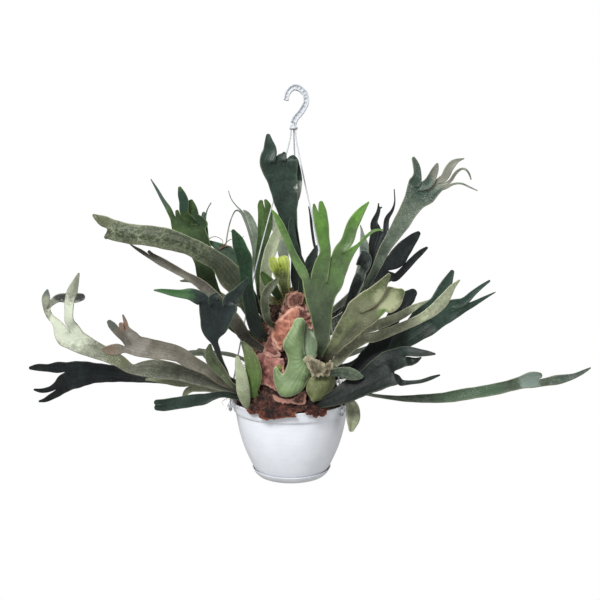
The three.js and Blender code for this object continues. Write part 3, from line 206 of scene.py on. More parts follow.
finish = {
    # The black finish's near-black tones are dark green deepened as painted shade, for fronds that sit in
    # shadow.
    "black": leaf("black_green_waxy_blade_painted_shade", "#0f1214 #101416 #171d1d #3c4440 #222a29 #30342e", 0.1, 0.42,
        gloss=0.22),
    "slate": leaf("blue_black_waxy_blade", "#131816 #151c1a #1d2824 #4c564f #29342f #424839", 0.12, 0.42,
        gloss=0.22),
    "kinked": leaf("kinked_waxy_blade", "#181e1f #1c2426 #212e2a #59635c #333f3a #4d5c45", 0.15, 0.4,
        patches=[((-182, -129, 328), 38, "#33582f")]),
    "deep": leaf("waxy_green_blade", "#1a231a #1f3028 #24392f #5c6b60 #33473b #54604c", 0.1, 0.42,
        patches=[((14, -29, 492), 15, "#a7b0a3")]),
    "grass": leaf("olive_green_blade", "#232e1d #33452a #42592d #5c6b52 #3d4f30 #5b6645", 0.08, 0.6,
        painted_shade_half=0.4, sheen=0.0, gloss=0.1,
        patches=[((-194, 38, 476), 24, "#22362c"), ((-160, 43, 448), 22, "#1f2f1c"),
                 ((-238, 65, 492), 40, "#38463e")]),
    "fresh": leaf("dark_green_waxy_blade", "#151c1a #17241c #234429 #526c54 #2f5036 #466040", 0.08, 0.4),
    "olive": leaf("olive_blade", "#2a2d20 #3d4532 #4f5a3d #879176 #5f6a4b #77765a", 0.4, 0.5,
        painted_shade_half=0.5),
    "mottled": leaf("mottled_scurfy_blade", "#1b1c14 #585f49 #767d65 #a0a78d #7a8068 #8a8c6e", 0.2, 0.52,
        painted_shade_half=0.35, blotches="#1e2a12", mottle=(0.6, 1.25),
        patches=[((-101, -46, 366), 44, "#2f3527"), ((-292, -84, 444), 16, "#5a6048")]),
    "dusk": leaf("dusty_green_blade", "#35413a #52604f #6a7466 #a5ada0 #79887a #93937a", 0.45, 0.48,
        painted_shade_half=0.35, sheen=0.12, band="#2b423a",
        patches=[((248, -69, 517), 28, "#77776c"), ((194, -61, 506), 30, "#2f4239")]),
    "dust": leaf("dusty_long_blade", "#303a2f #3d4a3b #515e4c #959d90 #79887a #7f826a", 0.4, 0.5,
        painted_shade_half=0.8, sheen=0.05, gloss=0.15,
        patches=[((465, -73, 188), 34, "#3e4843"), ((394, -65, 178), 20, "#66736b"),
                 ((300, -56, 152), 60, "#384d38")]),
    "sage": leaf("sage_felted_blade", "#3d3d2f #585f42 #4d5c36 #a6a78c #858a66 #a39e7f", 0.4, 0.55,
        painted_shade_half=0.75, sheen=0.1, mottle=(0.5, 1.4),
        patches=[((148, -123, 316), 24, "#8f9472"), ((144, -122, 294), 10, "#4d6a30"),
                 ((112, -118, 300), 26, "#60644a")]),
    "strap": leaf("sage_strap_blade", "#5c5d4b #868b71 #8a9276 #c0c2ad #82886a #b3b294", 0.5, 0.58,
        painted_shade_half=0.6, sheen=0.12, mottle=(0.6, 1.3)),
    # The two near-black patches on the curled lobe of antler_left are painted shade, where its shaded face
    # shows.
    "ash": leaf("ash_felted_blade", "#56594b #5a5d4e #9aa08c #bcc0b0 #878b7a #7d7862", 0.5, 0.6,
        painted_shade_half=0.4, sheen=0.15, mottle=(0.6, 1.2),
        patches=[((-376, -66, 318), 15, "#23282a"), ((-354, -55, 317), 19, "#23282a"),
                 ((-349, -90, 274), 46, "#c9d0bc"), ((-281, -68, 224), 28, "#565a41"),
                 ((-390, -96, 334), 16, "#59625e")]),
    "taupe": leaf("taupe_felted_blade", "#5d5a4c #69655b #6b655a #98958a #8a877b #6d6355", 0.45, 0.6,
        painted_shade_half=0.4, sheen=0.12, mottle=(0.65, 1.2),
        patches=[((-272, -153, 284), 14, "#565e58"), ((-258, -131, 282), 17, "#80685a"),
                 ((-285, -134, 242), 22, "#6f6051"), ((-240, -120, 252), 24, "#86827a")]),
    "thong": leaf("brown_grey_strap_blade", "#35322a #57544a #5f5b52 #8f8c80 #6f6c60 #8a8472", 0.4, 0.55,
        painted_shade_half=0.7, mottle=(0.7, 1.2)),
    # The pale band on the curled blade is a painted highlight.
    "curled": leaf("curled_dark_blade", "#191e1d #202827 #2a322f #6a736d #3d4742 #6f7a72", 0.2, 0.4,
        band="#727d75"),
    "pale": leaf("pale_felted_blade", "#6d7555 #8b9476 #97a083 #c3c9b2 #a0a887 #a9ad88", 0.5, 0.62,
        sheen=0.15, mottle=(0.75, 1.15)),
    "bright": leaf("fresh_green_blade", "#3a4136 #4a5a3e #55802f #8b9f80 #647b4c #84975f", 0.2, 0.42,
        painted_shade_half=0.25, mottle=(0.7, 1.2)),
    "young": leaf("young_green_blade", "#2c3416 #55641f #8f9d3d #bcc58a #46561f #b4bf6c", 0.3, 0.5,
        vein_share=0.8, sheen=0.12,
        patches=[((-18, -42, 333), 30, "#343f17")]),
    # The shield finish's two dark patches, at the kidney's lower right, are painted shade.
    "shield": leaf("green_shield_blade", "#5c704c #6e835a #6e835a #a3b08d #415534 #a9b78e", 0.25, 0.5,
        vein_share=0.6, mottle=(0.8, 1.12), gloss=0.3,
        patches=[((35, -78, 186), 24, "#37422e"), ((27, -77, 224), 14, "#4d5e41")]),
    "shade": leaf("olive_shield_blade", "#5c663f #6b7249 #646a4a #a3a985 #7c885c #99a070", 0.35, 0.48,
        vein_share=0.3, mottle=(0.75, 1.12)),
    "lit": leaf("pale_shield_blade", "#5c6e4e #607356 #6a7a62 #a9b29e #4c5f40 #b4bea6", 0.25, 0.5,
        vein_share=0.4, mottle=(0.8, 1.15), gloss=0.45,
        patches=[((42, -46, 257), 15, "#a3b09a")]),
    "crescent": leaf("green_crescent_blade", "#45642a #4c652f #57603f #8f9874 #7c9850 #a0aa78", 0.3, 0.45,
        vein_share=0.3, mottle=(0.75, 1.12)),
    "under": leaf("felted_underside", "#4a4f3f #687261 #7a836f #b0b6a4 #66705c #84836a", 0.6, 0.66,
        sheen=0.12, mottle=(0.7, 1.15)),
}
print("frond finishes", len(finish))

# %% [markdown]
# Dead shield fronds turn to a brown, papery sheet with the veins standing out, and their inner layers rot to
# a dark, fibrous peat. The paper is dry and dull. Its veins are darker ridges that run out from the middle.

# %% Dry finishes


def dry(name, tones, size_mm, rough, depth, stretch=None, veined=False, rim=None, spread=(0.4, 0.5, 0.6)):
    """A dry, fibrous or papery skin: three browns on two sizes of noise, painted shade in the creases,
    veins, a torn rim.
    """
    made, tree = material(name)
    where = add(tree, "TexCoord", out="Object")
    close = add(tree, "Mapping", {"Vector": where, "Scale": stretch}) if stretch else where
    broad = add(tree, "TexNoise", grain(where, size_mm * 4, 5, 0.65))
    fine = add(tree, "TexNoise", grain(close, size_mm, 5, 0.7))
    tone = add(tree, "ValToRGB", [broad * 0.55 + fine * 0.45], stops=list(zip(spread, tones.split())))
    dark = tones.split()[0]
    # Painted shade: the creases of a sheet take the darkest brown.
    shaded_crease = add(tree, "Attribute", attribute_name="shaded_crease", out="Fac")
    tone = add(tree, "MixRGB", [shaded_crease * 0.8, tone, dark])
    height = fine
    if veined:
        across = add(tree, "SeparateXYZ", [add(tree, "UVMap", uv_map="columns")])
        lines = add(tree, "Math", [across * (TURN * 2)], operation="SINE")
        vein = add(tree, "ValToRGB", [lines * 0.5 + 0.5], stops=[(0.86, 0.0), (1.0, 1.0)])
        tone = add(tree, "MixRGB", [vein * 0.25, tone, dark])
        height = fine + vein * 0.4
    if rim:
        edge = add(tree, "Attribute", attribute_name="edge", out="Fac")
        worn = add(tree, "ValToRGB", [edge + fine * 0.5], stops=[(0.85, 0.0), (1.0, 1.0)])
        tone = add(tree, "MixRGB", [worn * (broad * 1.3), tone, rim])
    body = add(tree, "BsdfPrincipled", {"Base Color": tone, "Roughness": rough, "Specular IOR Level": 0.3,
                                        "Normal": add(tree, "Bump", bump(height, depth, 0.8))})
    add(tree, "OutputMaterial", [body])
    return made


WIDE = (0.36, 0.5, 0.62)   # paper's browns lie further apart
for key, name, tones, rim in (("old", "dead", "#4f2c23 #98604e #c48f7a", "#c79a86"),
                              ("mauve", "mauve", "#341d19 #6e453d #9c6c60", "#b58c80"),
                              ("rosy", "rosy", "#522d28 #a06d63 #c0908a", "#c79a8e")):
    finish[key] = dry(f"papery_{name}_shield", tones, 16, 0.78, 0.7, veined=True, rim=rim, spread=WIDE)
finish["umber"] = dry("papery_umber_shield", "#22130f #54342c #805648", 12, 0.8, 0.8, veined=True,
                      rim="#a97e70", spread=WIDE)
finish["husk"] = dry("scurfy_husk", "#322f24 #615b49 #88826c", 8, 0.85, 0.9, rim="#979078", spread=WIDE)
finish["scrap"] = dry("torn_rim_shield", "#120a09 #2c1815 #5c3226", 5, 0.85, 1.0, veined=True, rim="#74402c")
finish["mound"] = dry("root_mound_peat", "#0f0807 #2a1b17 #5b4237", 4, 0.95, 2.2, stretch=(1, 1, 0.45))
finish["bark"] = dry("damp_potting_bark", "#1c110e #3c2620 #63463a", 7, 0.9, 3.0)
finish["fibre"] = dry("root_fibre", "#33201a #64473a #95775e", 6, 0.95, 0.2)
finish["moss"] = dry("dry_moss", "#3c4720 #616d30 #8f9650", 3, 0.95, 0.2)
print("dry finishes made")

# %% [markdown]
# The pot, tray and hanger are injection-moulded polypropylene: white, satin, and a little cool. The mould
# leaves faint, low ripples round the wall. Handling leaves very small differences of gloss.

# %% Moulded plastic
MOULD_RIPPLE = 9   # mm from one ripple of the mould to the next


def moulded(name, tone, shade, rough, ripple=0.0, texture=0.04):
    """Satin white plastic: nearly even colour, low ripples of the mould, and gloss that varies."""
    made, tree = material(name)
    where = add(tree, "TexCoord", out="Object")
    height = add(tree, "TexNoise", grain(where, 1.4, 2)) * texture
    if ripple:
        up = add(tree, "SeparateXYZ", [where], out="Z")
        wander = add(tree, "TexNoise", grain(where, 30, 2)) * 9.0
        phase = up * (TURN / (MOULD_RIPPLE * MM)) + wander
        height = height + add(tree, "Math", [phase], operation="SINE") * ripple
    cloud = add(tree, "TexNoise", grain(where, 30, 2))
    body = add(tree, "BsdfPrincipled", {
        "Base Color": add(tree, "ValToRGB", [cloud], stops=[(0.35, shade), (0.65, tone)]),
        "Roughness": add(tree, "TexNoise", grain(where, 4)) * 0.14 + (rough - 0.07), "IOR": 1.49,
        "Normal": add(tree, "Bump", bump(height, 0.5, 0.6))})
    add(tree, "OutputMaterial", [body])
    return made


finish["pot"] = moulded("white_polypropylene_pot", "#e9ecf3", "#e3e6ee", 0.34, ripple=0.1)
finish["tray"] = moulded("white_polypropylene_tray", "#dcdfe4", "#d2d5da", 0.4)
finish["hanger"] = moulded("white_polypropylene_hanger", "#b9bdc2", "#adb1b6", 0.4, texture=0.0)
print("plastic made")

# %% [markdown]
# Every new piece goes the same way: points and faces into a mesh at the origin, a finish, the body it rides
# on, and the solid that it stands for.

# %% Put a piece in the scene


def add_object(name, data):
    """Puts a mesh, light or camera in the scene."""
    made = bpy.data.objects.new(name, data)
    bpy.context.scene.collection.objects.link(made)
    return made


def piece(name, shape, skins, node=None, values=None, plan=None):
    """A smooth piece in millimetres. shape is its points and then its faces, in one array or more. values
    are numbers for each point, and plan is the map of columns."""
    mesh = bpy.data.meshes.new(name)
    faces = sum((np.asarray(group).tolist() for group in shape[1:]), [])
    mesh.from_pydata((np.asarray(shape[0]) * MM).tolist(), [], faces)
    mesh.polygons.foreach_set("use_smooth", np.ones(len(mesh.polygons), bool))
    for skin in skins:
        mesh.materials.append(finish[skin])
    for key, amounts in (values or {}).items():
        layer = mesh.attributes.new(key, "FLOAT", "POINT")
        layer.data.foreach_set("value", np.asarray(amounts, np.float32))
    if plan is not None:
        corners = np.empty(len(mesh.loops), int)
        mesh.loops.foreach_get("vertex_index", corners)
        layer = mesh.uv_layers.new(name="columns")
        layer.data.foreach_set("uv", np.asarray(plan, np.float32)[corners].ravel())
    made = add_object(name, mesh)
    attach(made, "root")
    if node:
        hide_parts(node)
    return made


# %% Give a sheet its thickness


def thicken(made, mm, group=None, thin=1.0):
    """Gives a sheet its thickness, half to each side, less where the group's weight is low."""
    modifier = made.modifiers.new("thickness", "SOLIDIFY")
    modifier.thickness = mm * MM
    modifier.offset = 0
    modifier.use_even_offset = False
    if group:
        modifier.vertex_group = group
        modifier.thickness_vertex_group = thin
        modifier.material_offset = 1   # the back takes the second finish


# %% [markdown]
# Most pieces are rows of points that close round themselves, as on a turned pot or a tube. The faces between
# them come from counting, and a pole closes each end.

# %% Rows of points


def ring_quads(rows, around):
    """Quads between rows of points that close round themselves, facing out when rows go up anticlockwise."""
    i = np.arange(rows - 1)[:, None] * around
    k = np.arange(around)[None, :]
    n = (k + 1) % around
    return np.stack([i + k, i + n, i + around + n, i + around + k], -1).reshape(-1, 4)


def capped(rows, poles):
    """Rows of points that close round themselves, and a pole at each end: points, quads and triangles."""
    count, around = rows.shape[:2]
    k = np.arange(around)
    n = (k + 1) % around
    low = np.full(around, count * around)
    last = (count - 1) * around
    tris = np.vstack([np.stack([low, n, k], -1), np.stack([low + 1, last + k, last + n], -1)])
    return np.vstack([rows.reshape(-1, 3), poles]), ring_quads(count, around), tris


def unit(v):
    """Vectors made 1 long."""
    return v / np.maximum(np.linalg.norm(v, axis=-1, keepdims=True), 1e-9)


print("points, quads and triangles", [len(p) for p in capped(np.zeros((2, 6, 3)), np.zeros((2, 3)))])

# %% Small sums on points


def spun(points, angle):
    """Points turned about the axis of the pot."""
    c, s = math.cos(angle), math.sin(angle)
    return points @ np.array([[c, s, 0], [-s, c, 0], [0, 0, 1]])


def run_length(points):
    """How far along a line each of its points is."""
    return np.append(0, np.cumsum(np.linalg.norm(np.diff(points, axis=0), axis=1)))


def numbers(text, wide=2):
    """Numbers written in a line, as rows of so many."""
    return np.array(text.split(), float).reshape(-1, wide)


def waves(p, size, seed=0):
    """A rough, repeatable value from -1 to 1 at points p: the mean of five sine waves about size mm long.
    Their directions, lengths and starts are drawn by chance."""
    chance = np.random.default_rng(seed)
    turns = unit(chance.normal(size=(5, 3)))
    total = sum(np.sin(p @ t * (TURN / size) * s + o)
                for t, s, o in zip(turns, chance.uniform(0.7, 1.6, 5), chance.uniform(0, 6.28, 5)))
    return total / 5


print("waves from", waves(np.eye(3), 1).min(), "to", waves(np.eye(3), 1).max())

# %% [markdown]
# ## Camera, floor and light
# The camera is level with the crown and looks slightly down. A soft panel above, in front and to the left is
# the key. A weak one at the right and one above the back lift the shadows. The room is white to the eye, but
# it lights the plant only dimly, so the fronds keep their depth. The floor lies far below the hanging pot.

# %% Camera
TILT = math.atan(69 / 700)   # how far down it looks: 69 mm in each 700
camera = add_object("camera", bpy.data.cameras.new("camera"))
camera.data.lens, camera.data.sensor_width = 42, 36
camera.location = (0.015, -1.2, 0.423)
camera.rotation_euler = (math.radians(90) - TILT, 0, 0)
bpy.context.scene.camera = camera
print("camera looks down by", math.degrees(TILT), "degrees")

# %% Floor, world and lights
FLOOR, FLOOR_REACH, AMBIENT = -0.42, 9, 0.36
floor_mesh = bpy.data.meshes.new("floor")
floor_corners = [(x * FLOOR_REACH, y * FLOOR_REACH, FLOOR) for x, y in ((-1, -1), (1, -1), (1, 1), (-1, 1))]
floor_mesh.from_pydata(floor_corners, [], [(0, 1, 2, 3)])
white_card, tree = material("white_card")
cloud = add(tree, "TexNoise", grain(add(tree, "TexCoord", out="Object"), 60))
grey = add(tree, "ValToRGB", [cloud], stops=[(0.3, "#a4a4a2"), (0.7, "#aaaaa8")])
card = add(tree, "BsdfPrincipled", {"Base Color": grey, "Roughness": 0.9})
bright = add(tree, "Emission", {"Color": 1.0, "Strength": 1.0})
both = add(tree, "MixShader", [add(tree, "LightPath", out="Is Camera Ray"), card, bright])
add(tree, "OutputMaterial", [both])
floor_mesh.materials.append(white_card)
floor = add_object("floor", floor_mesh)

world = bpy.data.worlds.new("white_room")
world.use_nodes = True
direct = add(world.node_tree, "LightPath", out="Is Camera Ray")
feed(world.node_tree.nodes["Background"], {"Color": 1.0, "Strength": direct * (1 - AMBIENT) + AMBIENT})
bpy.context.scene.world = world
bpy.context.scene.view_settings.view_transform = "Standard"


def panel(name, place, size, power, aim=(0, 0, 0.3)):
    """A square soft light of the given size and power, turned to aim."""
    light = bpy.data.lights.new(name, "AREA")
    light.size, light.energy = size, power
    lamp = add_object(name, light)
    lamp.location = place
    away = unit(np.array(place, float) - np.array(aim, float))
    lamp.rotation_euler = (math.acos(away[2]), 0, math.atan2(away[0], -away[1]))


panel("key", (-0.8, -1.6, 1.7), 0.8, 62)
panel("fill", (1.6, -1.5, 0.5), 1.2, 8)
panel("top", (0.15, 0.1, 2.1), 0.8, 22)
panel("back", (-0.4, 1.9, 1.3), 1.0, 12)
print("camera, floor and light ready")

# %% [markdown]
# ## The pot and its tray
# The pot is a thin moulded shell: a tapered wall, a collar and a rolled rim. Its profile, turned about the
# axis, gives inner and outer wall at once. Three lugs on the rim carry the strands. The floor has four drain
# holes, and the shallow tray clips on below.

# %% Turned profiles


def turned(profile, around=144):
    """Turns (radius, height) pairs about +Z. The first and the last lie on the axis and close the ends."""
    a = np.linspace(0, TURN, around, endpoint=False)
    r, z = np.array(profile[1:-1], float).T[..., None]
    rows = np.stack([r * np.cos(a), r * np.sin(a), z + 0 * a], -1)
    return capped(rows, [[0, 0, profile[0][1]], [0, 0, profile[-1][1]]])


def smooth(knots, step, before=None):
    """Catmull-Rom samples through knots, about step mm apart. Between a and b, with p before and q after, it
    is (2a + (b - p)t + (2p - 5a + 4b - q)t^2 + (3a - p - 3b + q)t^3) / 2 as t goes from 0 to 1."""
    knots = np.array(knots, float)
    before = 2 * knots[0] - knots[1] if before is None else before
    knots = np.vstack([before, knots, 2 * knots[-1] - knots[-2]])
    spans, shares = [], []
    for i in range(1, len(knots) - 2):
        count = max(1, int(round(np.linalg.norm(knots[i + 1, :3] - knots[i, :3]) / step)))
        spans += [i] * count
        shares += [j / count for j in range(count)]
    i, t = np.array(spans), np.array(shares)[:, None]
    p, a, b, q = knots[i - 1], knots[i], knots[i + 1], knots[i + 2]
    rows = 2 * a + (b - p) * t + (2 * p - 5 * a + 4 * b - q) * t ** 2 + (3 * a - p - 3 * b + q) * t ** 3
    return np.vstack([0.5 * rows, knots[-2:-1]])


print("a 10 mm span makes", len(smooth([(0, 0), (10, 0)], 2)), "points at 2 mm")

# %% Pot
TRAY_WALL, RIM_RADIUS, POT_WALL, PROFILE_STEP = 1.6, 105, 1.8, 4
POT_FLOOR = TRAY_WALL + 0.35
STRANDS = [math.radians(d) for d in (80, 200, 320)]
wall = smooth(numbers("60.5 3.25  65.6 13  71 23  79.5 42  86 60  92 83  97.5 114"), PROFILE_STEP)
rim = numbers("""97.9 114.4  99.9 114.8  100.5 115.6  101.4 119  104.2 129.6  104.9 131.2  104.9 132.2
              104.3 132.9  103.4 133  102.4 132.8  101.8 132.2  101.2 130  98.2 119  96.2 114.6""")
inside = [(r - POT_WALL, max(z, POT_FLOOR + POT_WALL)) for r, z in wall[::-1][1:]]
pot = piece("pot_shell", turned([
    (0, POT_FLOOR), (30, POT_FLOOR), (59, POT_FLOOR), (60.2, 2.4), *wall, *rim, *inside,
    (30, POT_FLOOR + POT_WALL), (0, POT_FLOOR + POT_WALL)]), ["pot"], "pot")


def tool(shape, place, turn):
    """A shape in millimetres, set at a place and turned about the axis, to join to a piece or cut out."""
    mesh = bpy.data.meshes.new("tool")
    faces = sum((np.asarray(group).tolist() for group in shape[1:]), [])
    mesh.from_pydata((spun(shape[0] + np.array(place), turn) * MM).tolist(), [], faces)
    return add_object("tool", mesh)


def rod(radius, height, place, turn):
    """A cylinder that stands on its place."""
    return tool(turned([(0, 0), (radius, 0), (radius, height), (0, height)], 32), place, turn)


def carve(target, tools, how, aside=0):
    """Applies a Boolean of each tool, moved aside in X, to the target for good, and removes the tool."""
    for cutter in tools:
        cutter.location.x = aside * MM
        modifier = target.modifiers.new("cut", "BOOLEAN")
        modifier.operation, modifier.solver, modifier.object = how, "EXACT", cutter
        graph = bpy.context.evaluated_depsgraph_get()
        result = bpy.data.meshes.new_from_object(target.evaluated_get(graph))
        target.modifiers.clear()
        old, target.data = target.data, result
        bpy.data.meshes.remove(old)
        bpy.data.objects.remove(cutter, do_unlink=True)


block = numbers("0 0 0  1 0 0  1 1 0  0 1 0  0 0 1  1 0 1  1 1 1  0 1 1", 3) - 0.5
block_faces = [(3, 2, 1, 0), (4, 5, 6, 7), (0, 1, 5, 4), (1, 2, 6, 5), (2, 3, 7, 6), (3, 0, 4, 7)]
LUG = (12, 11, 5)
lugs = [tool((block * LUG, block_faces), (RIM_RADIUS + 2.5, 0, 128.5), a) for a in STRANDS]
for lug in lugs:
    soft = lug.modifiers.new("soft", "BEVEL")
    soft.width, soft.segments = 1.2 * MM, 3
carve(pot, lugs, "UNION")
carve(pot, [rod(2.4, 20, (RIM_RADIUS + 4.5, 0, 120), a) for a in STRANDS], "DIFFERENCE")
carve(pot, [rod(5, 12, (34, 0, -2), a) for a in np.arange(4) * math.pi / 2], "DIFFERENCE")
pot.data.polygons.foreach_set("use_smooth", np.ones(len(pot.data.polygons), bool))
crisp = pot.modifiers.new("crisp", "EDGE_SPLIT")
crisp.split_angle = math.radians(38)
print("pot", len(pot.data.polygons), "faces")

# %% Drip tray and bark
tray_outside = smooth([(60.6, 1.5), (65, 6), (68.8, 12.4)], 2)
tray_inside = smooth([(67.2, 12.2), (63.4, 6), (60.4, 1.8)], 2)
piece("tray_shell", turned([
    (0, 0), (30, 0), (55, 0), (57.5, 0.3), (60, 1), *tray_outside, (68.6, 13), (68, 13.1), (67.6, 12.8),
    *tray_inside, (59, TRAY_WALL), (30, TRAY_WALL), (0, TRAY_WALL)]), ["tray"], "drip_tray")

BARK_TOP = 118
bark_side = [(r - POT_WALL - 0.5, z) for r, z in wall if z > 6]
bark_points, *bark_faces = turned([
    (0, 4.2), (30, 4.2), (57, 4.2), *bark_side, (94, 115), (92, 117.6),
    *[(r, BARK_TOP) for r in range(88, 3, -4)], (0, BARK_TOP)], 180)
chunks = waves(bark_points, 13, 3) * 1.6 + np.abs(waves(bark_points, 7, 4)) * 2.2 - 2.0
bark_points[:, 2] += chunks * (bark_points[:, 2] > BARK_TOP - 2)
piece("bark_fill", (bark_points, *bark_faces), ["bark"], "potting_bark")
print("tray and bark ready")

# %% [markdown]
# ## The hanger
# Each strand is a moulded white rod, 2.4 mm thick, with a bead under the pot's lug and a head above the hub.
# Its tube is a circle carried along the same line as its solid.

# %% Tubes along a line
HUB_BOTTOM, HUB_THICK, HUB_HOLES, HUB_ASIDE, LUG_TOP = 593, 4, 4.2, 4, 131


def tube(line, radius, sides=12):
    """A tube: at each point of the line, a circle across the way it runs."""
    run = unit(np.gradient(line, axis=0))
    side = unit(np.cross(run, [0.0, 1.0, 0.0]))
    up = np.cross(side, run)
    a = np.linspace(0, TURN, sides, endpoint=False)[None, :, None]
    rows = line[:, None] + radius[:, None, None] * (np.cos(a) * side[:, None] + np.sin(a) * up[:, None])
    return capped(rows, [line[0], line[-1]])


def even_curve(line):
    """Catmull-Rom samples, 14 to a span, with knots parted by the root of their distance (the centripetal
    kind), so that long and short spans stay smooth."""
    p = np.vstack([2 * line[0] - line[1], line, 2 * line[-1] - line[-2]])
    out = []
    for i in range(1, len(p) - 2):
        near = p[i - 1:i + 3]
        k = np.append(0, np.cumsum(np.sqrt(np.linalg.norm(np.diff(near, axis=0), axis=1))))
        t = np.linspace(k[1], k[2], 14, endpoint=False)[:, None]
        # Three passes, each a straight blend between the neighbours of the last.
        for reach in (1, 2):
            near = [((k[j + reach] - t) * near[j] + (t - k[j]) * near[j + 1]) / (k[j + reach] - k[j])
                    for j in range(4 - reach)]
        out.append(((k[2] - t) * near[0] + (t - k[1]) * near[1]) / (k[2] - k[1]))
    return np.vstack(out + [line[-1:]])


def strand(name, azimuth, bow):
    """One strand: down from its head, out past the crown and in to its lug, with a bead at each end."""
    lug = RIM_RADIUS + 4.5
    head, bead = HUB_BOTTOM + HUB_THICK + 1.7, LUG_TOP - 5 - 3.6
    knots = [(HUB_HOLES, HUB_BOTTOM - 1), (HUB_HOLES + 1, HUB_BOTTOM - 12), (HUB_HOLES + 9, HUB_BOTTOM - 44),
             (lug * 0.52 + bow, HUB_BOTTOM * 0.61), (lug - 3, LUG_TOP + 26), (lug, LUG_TOP + 3)]
    line = np.vstack([[(HUB_HOLES, 0, head + up) for up in (2.4, 1.2, -1.4)],
                      even_curve(np.array([(r, 0, z) for r, z in knots], float)),
                      [(lug, 0, bead + up) for up in (3, 0, -3.4)]])
    radius = np.full(len(line), 1.2)
    for centre, size in ((head + 0.4, 2.1), (bead, 3.6)):
        radius = np.maximum(radius, np.sqrt(np.maximum(size ** 2 - (line[:, 2] - centre) ** 2, 0)))
    points, *faces = tube(line[::-1], radius[::-1])
    points = spun(points, azimuth)
    points[:, 0] += HUB_ASIDE * np.maximum(0, points[:, 2] - LUG_TOP) / (HUB_BOTTOM - LUG_TOP)
    piece(name + "_rod", (points, *faces), ["hanger"], name)


for name, azimuth, bow in zip(("strand_back", "strand_left", "strand_right"), STRANDS, (0, 8, 8)):
    strand(name, azimuth, bow)
print("strands", len(STRANDS))

# %% [markdown]
# The hook is one moulding: a rib section that narrows to the tip, open pockets along its inner side, and a
# hub with a hole for each strand. The rib section is carried along the hook's middle line.

# %% Hook
HALF_WIDE, HALF_DEEP, HALF_WEB, POCKET = 5, 4, 1.3, 6.3
middle = smooth(numbers("0 603.5  4 612  14 624  21 638  19 652  9 661  -1 661.5  -9.5 653  -12.5 641"), 2.2)
run = unit(np.gradient(middle, axis=0))
across = np.stack([run[:, 1], -run[:, 0]], -1)
wide, deep, web = HALF_WIDE, HALF_DEEP, HALF_WEB
half_section = [(wide, -deep), (wide, 0), (wide, deep), (wide - 2, deep), (web + 0.4, web), (0, web),
                (-web - 0.4, web), (2 - wide, deep)]
section = np.array(half_section + [(-u, -v) for u, v in half_section])
# The pockets: the web swells to a cross wall at each POCKET millimetres.
reach = run_length(middle)
in_wall = (np.abs((reach / POCKET) % 1 - 0.5) < 0.16)[:, None]
taper = np.clip(1.04 - 0.22 * (reach / reach[-1]) ** 2, 0.6, 1.1)[:, None]
u, v = section[:, 0] * taper, section[:, 1] * np.ones_like(taper)
v = np.where((np.abs(v) < web + 0.1) & in_wall, np.sign(v) * (deep - 0.5), v)
rows = np.stack([middle[:, :1] + across[:, :1] * u + HUB_ASIDE, v, middle[:, 1:] + across[:, 1:] * u], -1)
ends = [rows[0].mean(0), rows[-1].mean(0)]
hook = piece("hook_moulding", capped(rows, ends), ["hanger"], "hook")
soft = hook.modifiers.new("soft", "BEVEL")
soft.width, soft.segments, soft.angle_limit = 0.5 * MM, 2, math.radians(40)
hub_points, *hub_faces = turned(numbers("""0 593  6 593  6.8 593.4  7 594  7 596  6.6 596.8  6 597  3 597.2
                                        2.2 598.2  1.8 601  1.8 605  0 605"""), 40)
hub = piece("hook_hub", (hub_points + [HUB_ASIDE, 0, 0], *hub_faces), ["hanger"])
carve(hub, [rod(1.9, 12, (HUB_HOLES, 0, 588), a) for a in STRANDS], "DIFFERENCE", HUB_ASIDE)
print("hanger ready")

# %% [markdown]
# ## The mound
# The mound is what years of shield fronds leave: layer on layer, rotted to fibre and held by roots. Its
# solid is a radius at each direction and height, lumpy and swollen where pups grow. The same rule is worked
# out here on a fine grid, and then roughened at three sizes.

# %% The mound's rule
mound_radii, mound_heights = numbers("""93 118  95 124  95.5 132  89 146  78 162  68 184  62 210  56 240
                                     48 270  38 296  24 316  8 326""").T
MOUND_TOP, LOW_EDGE, HIGH_EDGE = 329, 122, 323
# Where each pup swells the mound: azimuth, height, how far out, and the swelling's breadth and height.
pups = [(-141, 162, 22, 26, 34), (-52, 204, 15, 24, 28)]


def step(x, low, high):
    """0 below low and 1 above high, and 3t^2 - 2t^3 between, where t is the share of the way."""
    t = np.clip((x - low) / (high - low), 0, 1)
    return t * t * (3 - 2 * t)


def nearness(angle, degrees, breadth):
    """How near a direction is to another: a bell curve of the given breadth in degrees."""
    off = np.arctan2(np.sin(angle - np.radians(degrees)), np.cos(angle - np.radians(degrees)))
    return np.exp(-(off / np.radians(breadth)) ** 2)


def mound_point(azimuth, z):
    """The mound's surface: its radius times low lumps, plus a bulge for each pup, leaning as it rises."""
    lumps = 0.05 * np.sin(3 * azimuth + z / 34) + 0.035 * np.sin(5 * azimuth - z / 17)
    r = np.interp(z, mound_heights, mound_radii) * (1 + lumps * step(z, 132, 160))
    for pup_azimuth, pup_z, out, breadth, height in pups:
        rise = np.exp(-((z - pup_z) / height) ** 2) * step(z, 132, 146)
        r = r + out * nearness(azimuth, pup_azimuth, breadth) * rise
    lean = step(z, 180, MOUND_TOP)
    return np.stack([r * np.cos(azimuth) + 6 * lean, r * np.sin(azimuth) - 8 * lean, z + 0 * r], -1)


def outward(points):
    """The level direction from the axis to each point."""
    return unit(points * [1, 1, 0])


print("the mound's front at 200 mm", mound_point(np.radians(-90), 200.0))

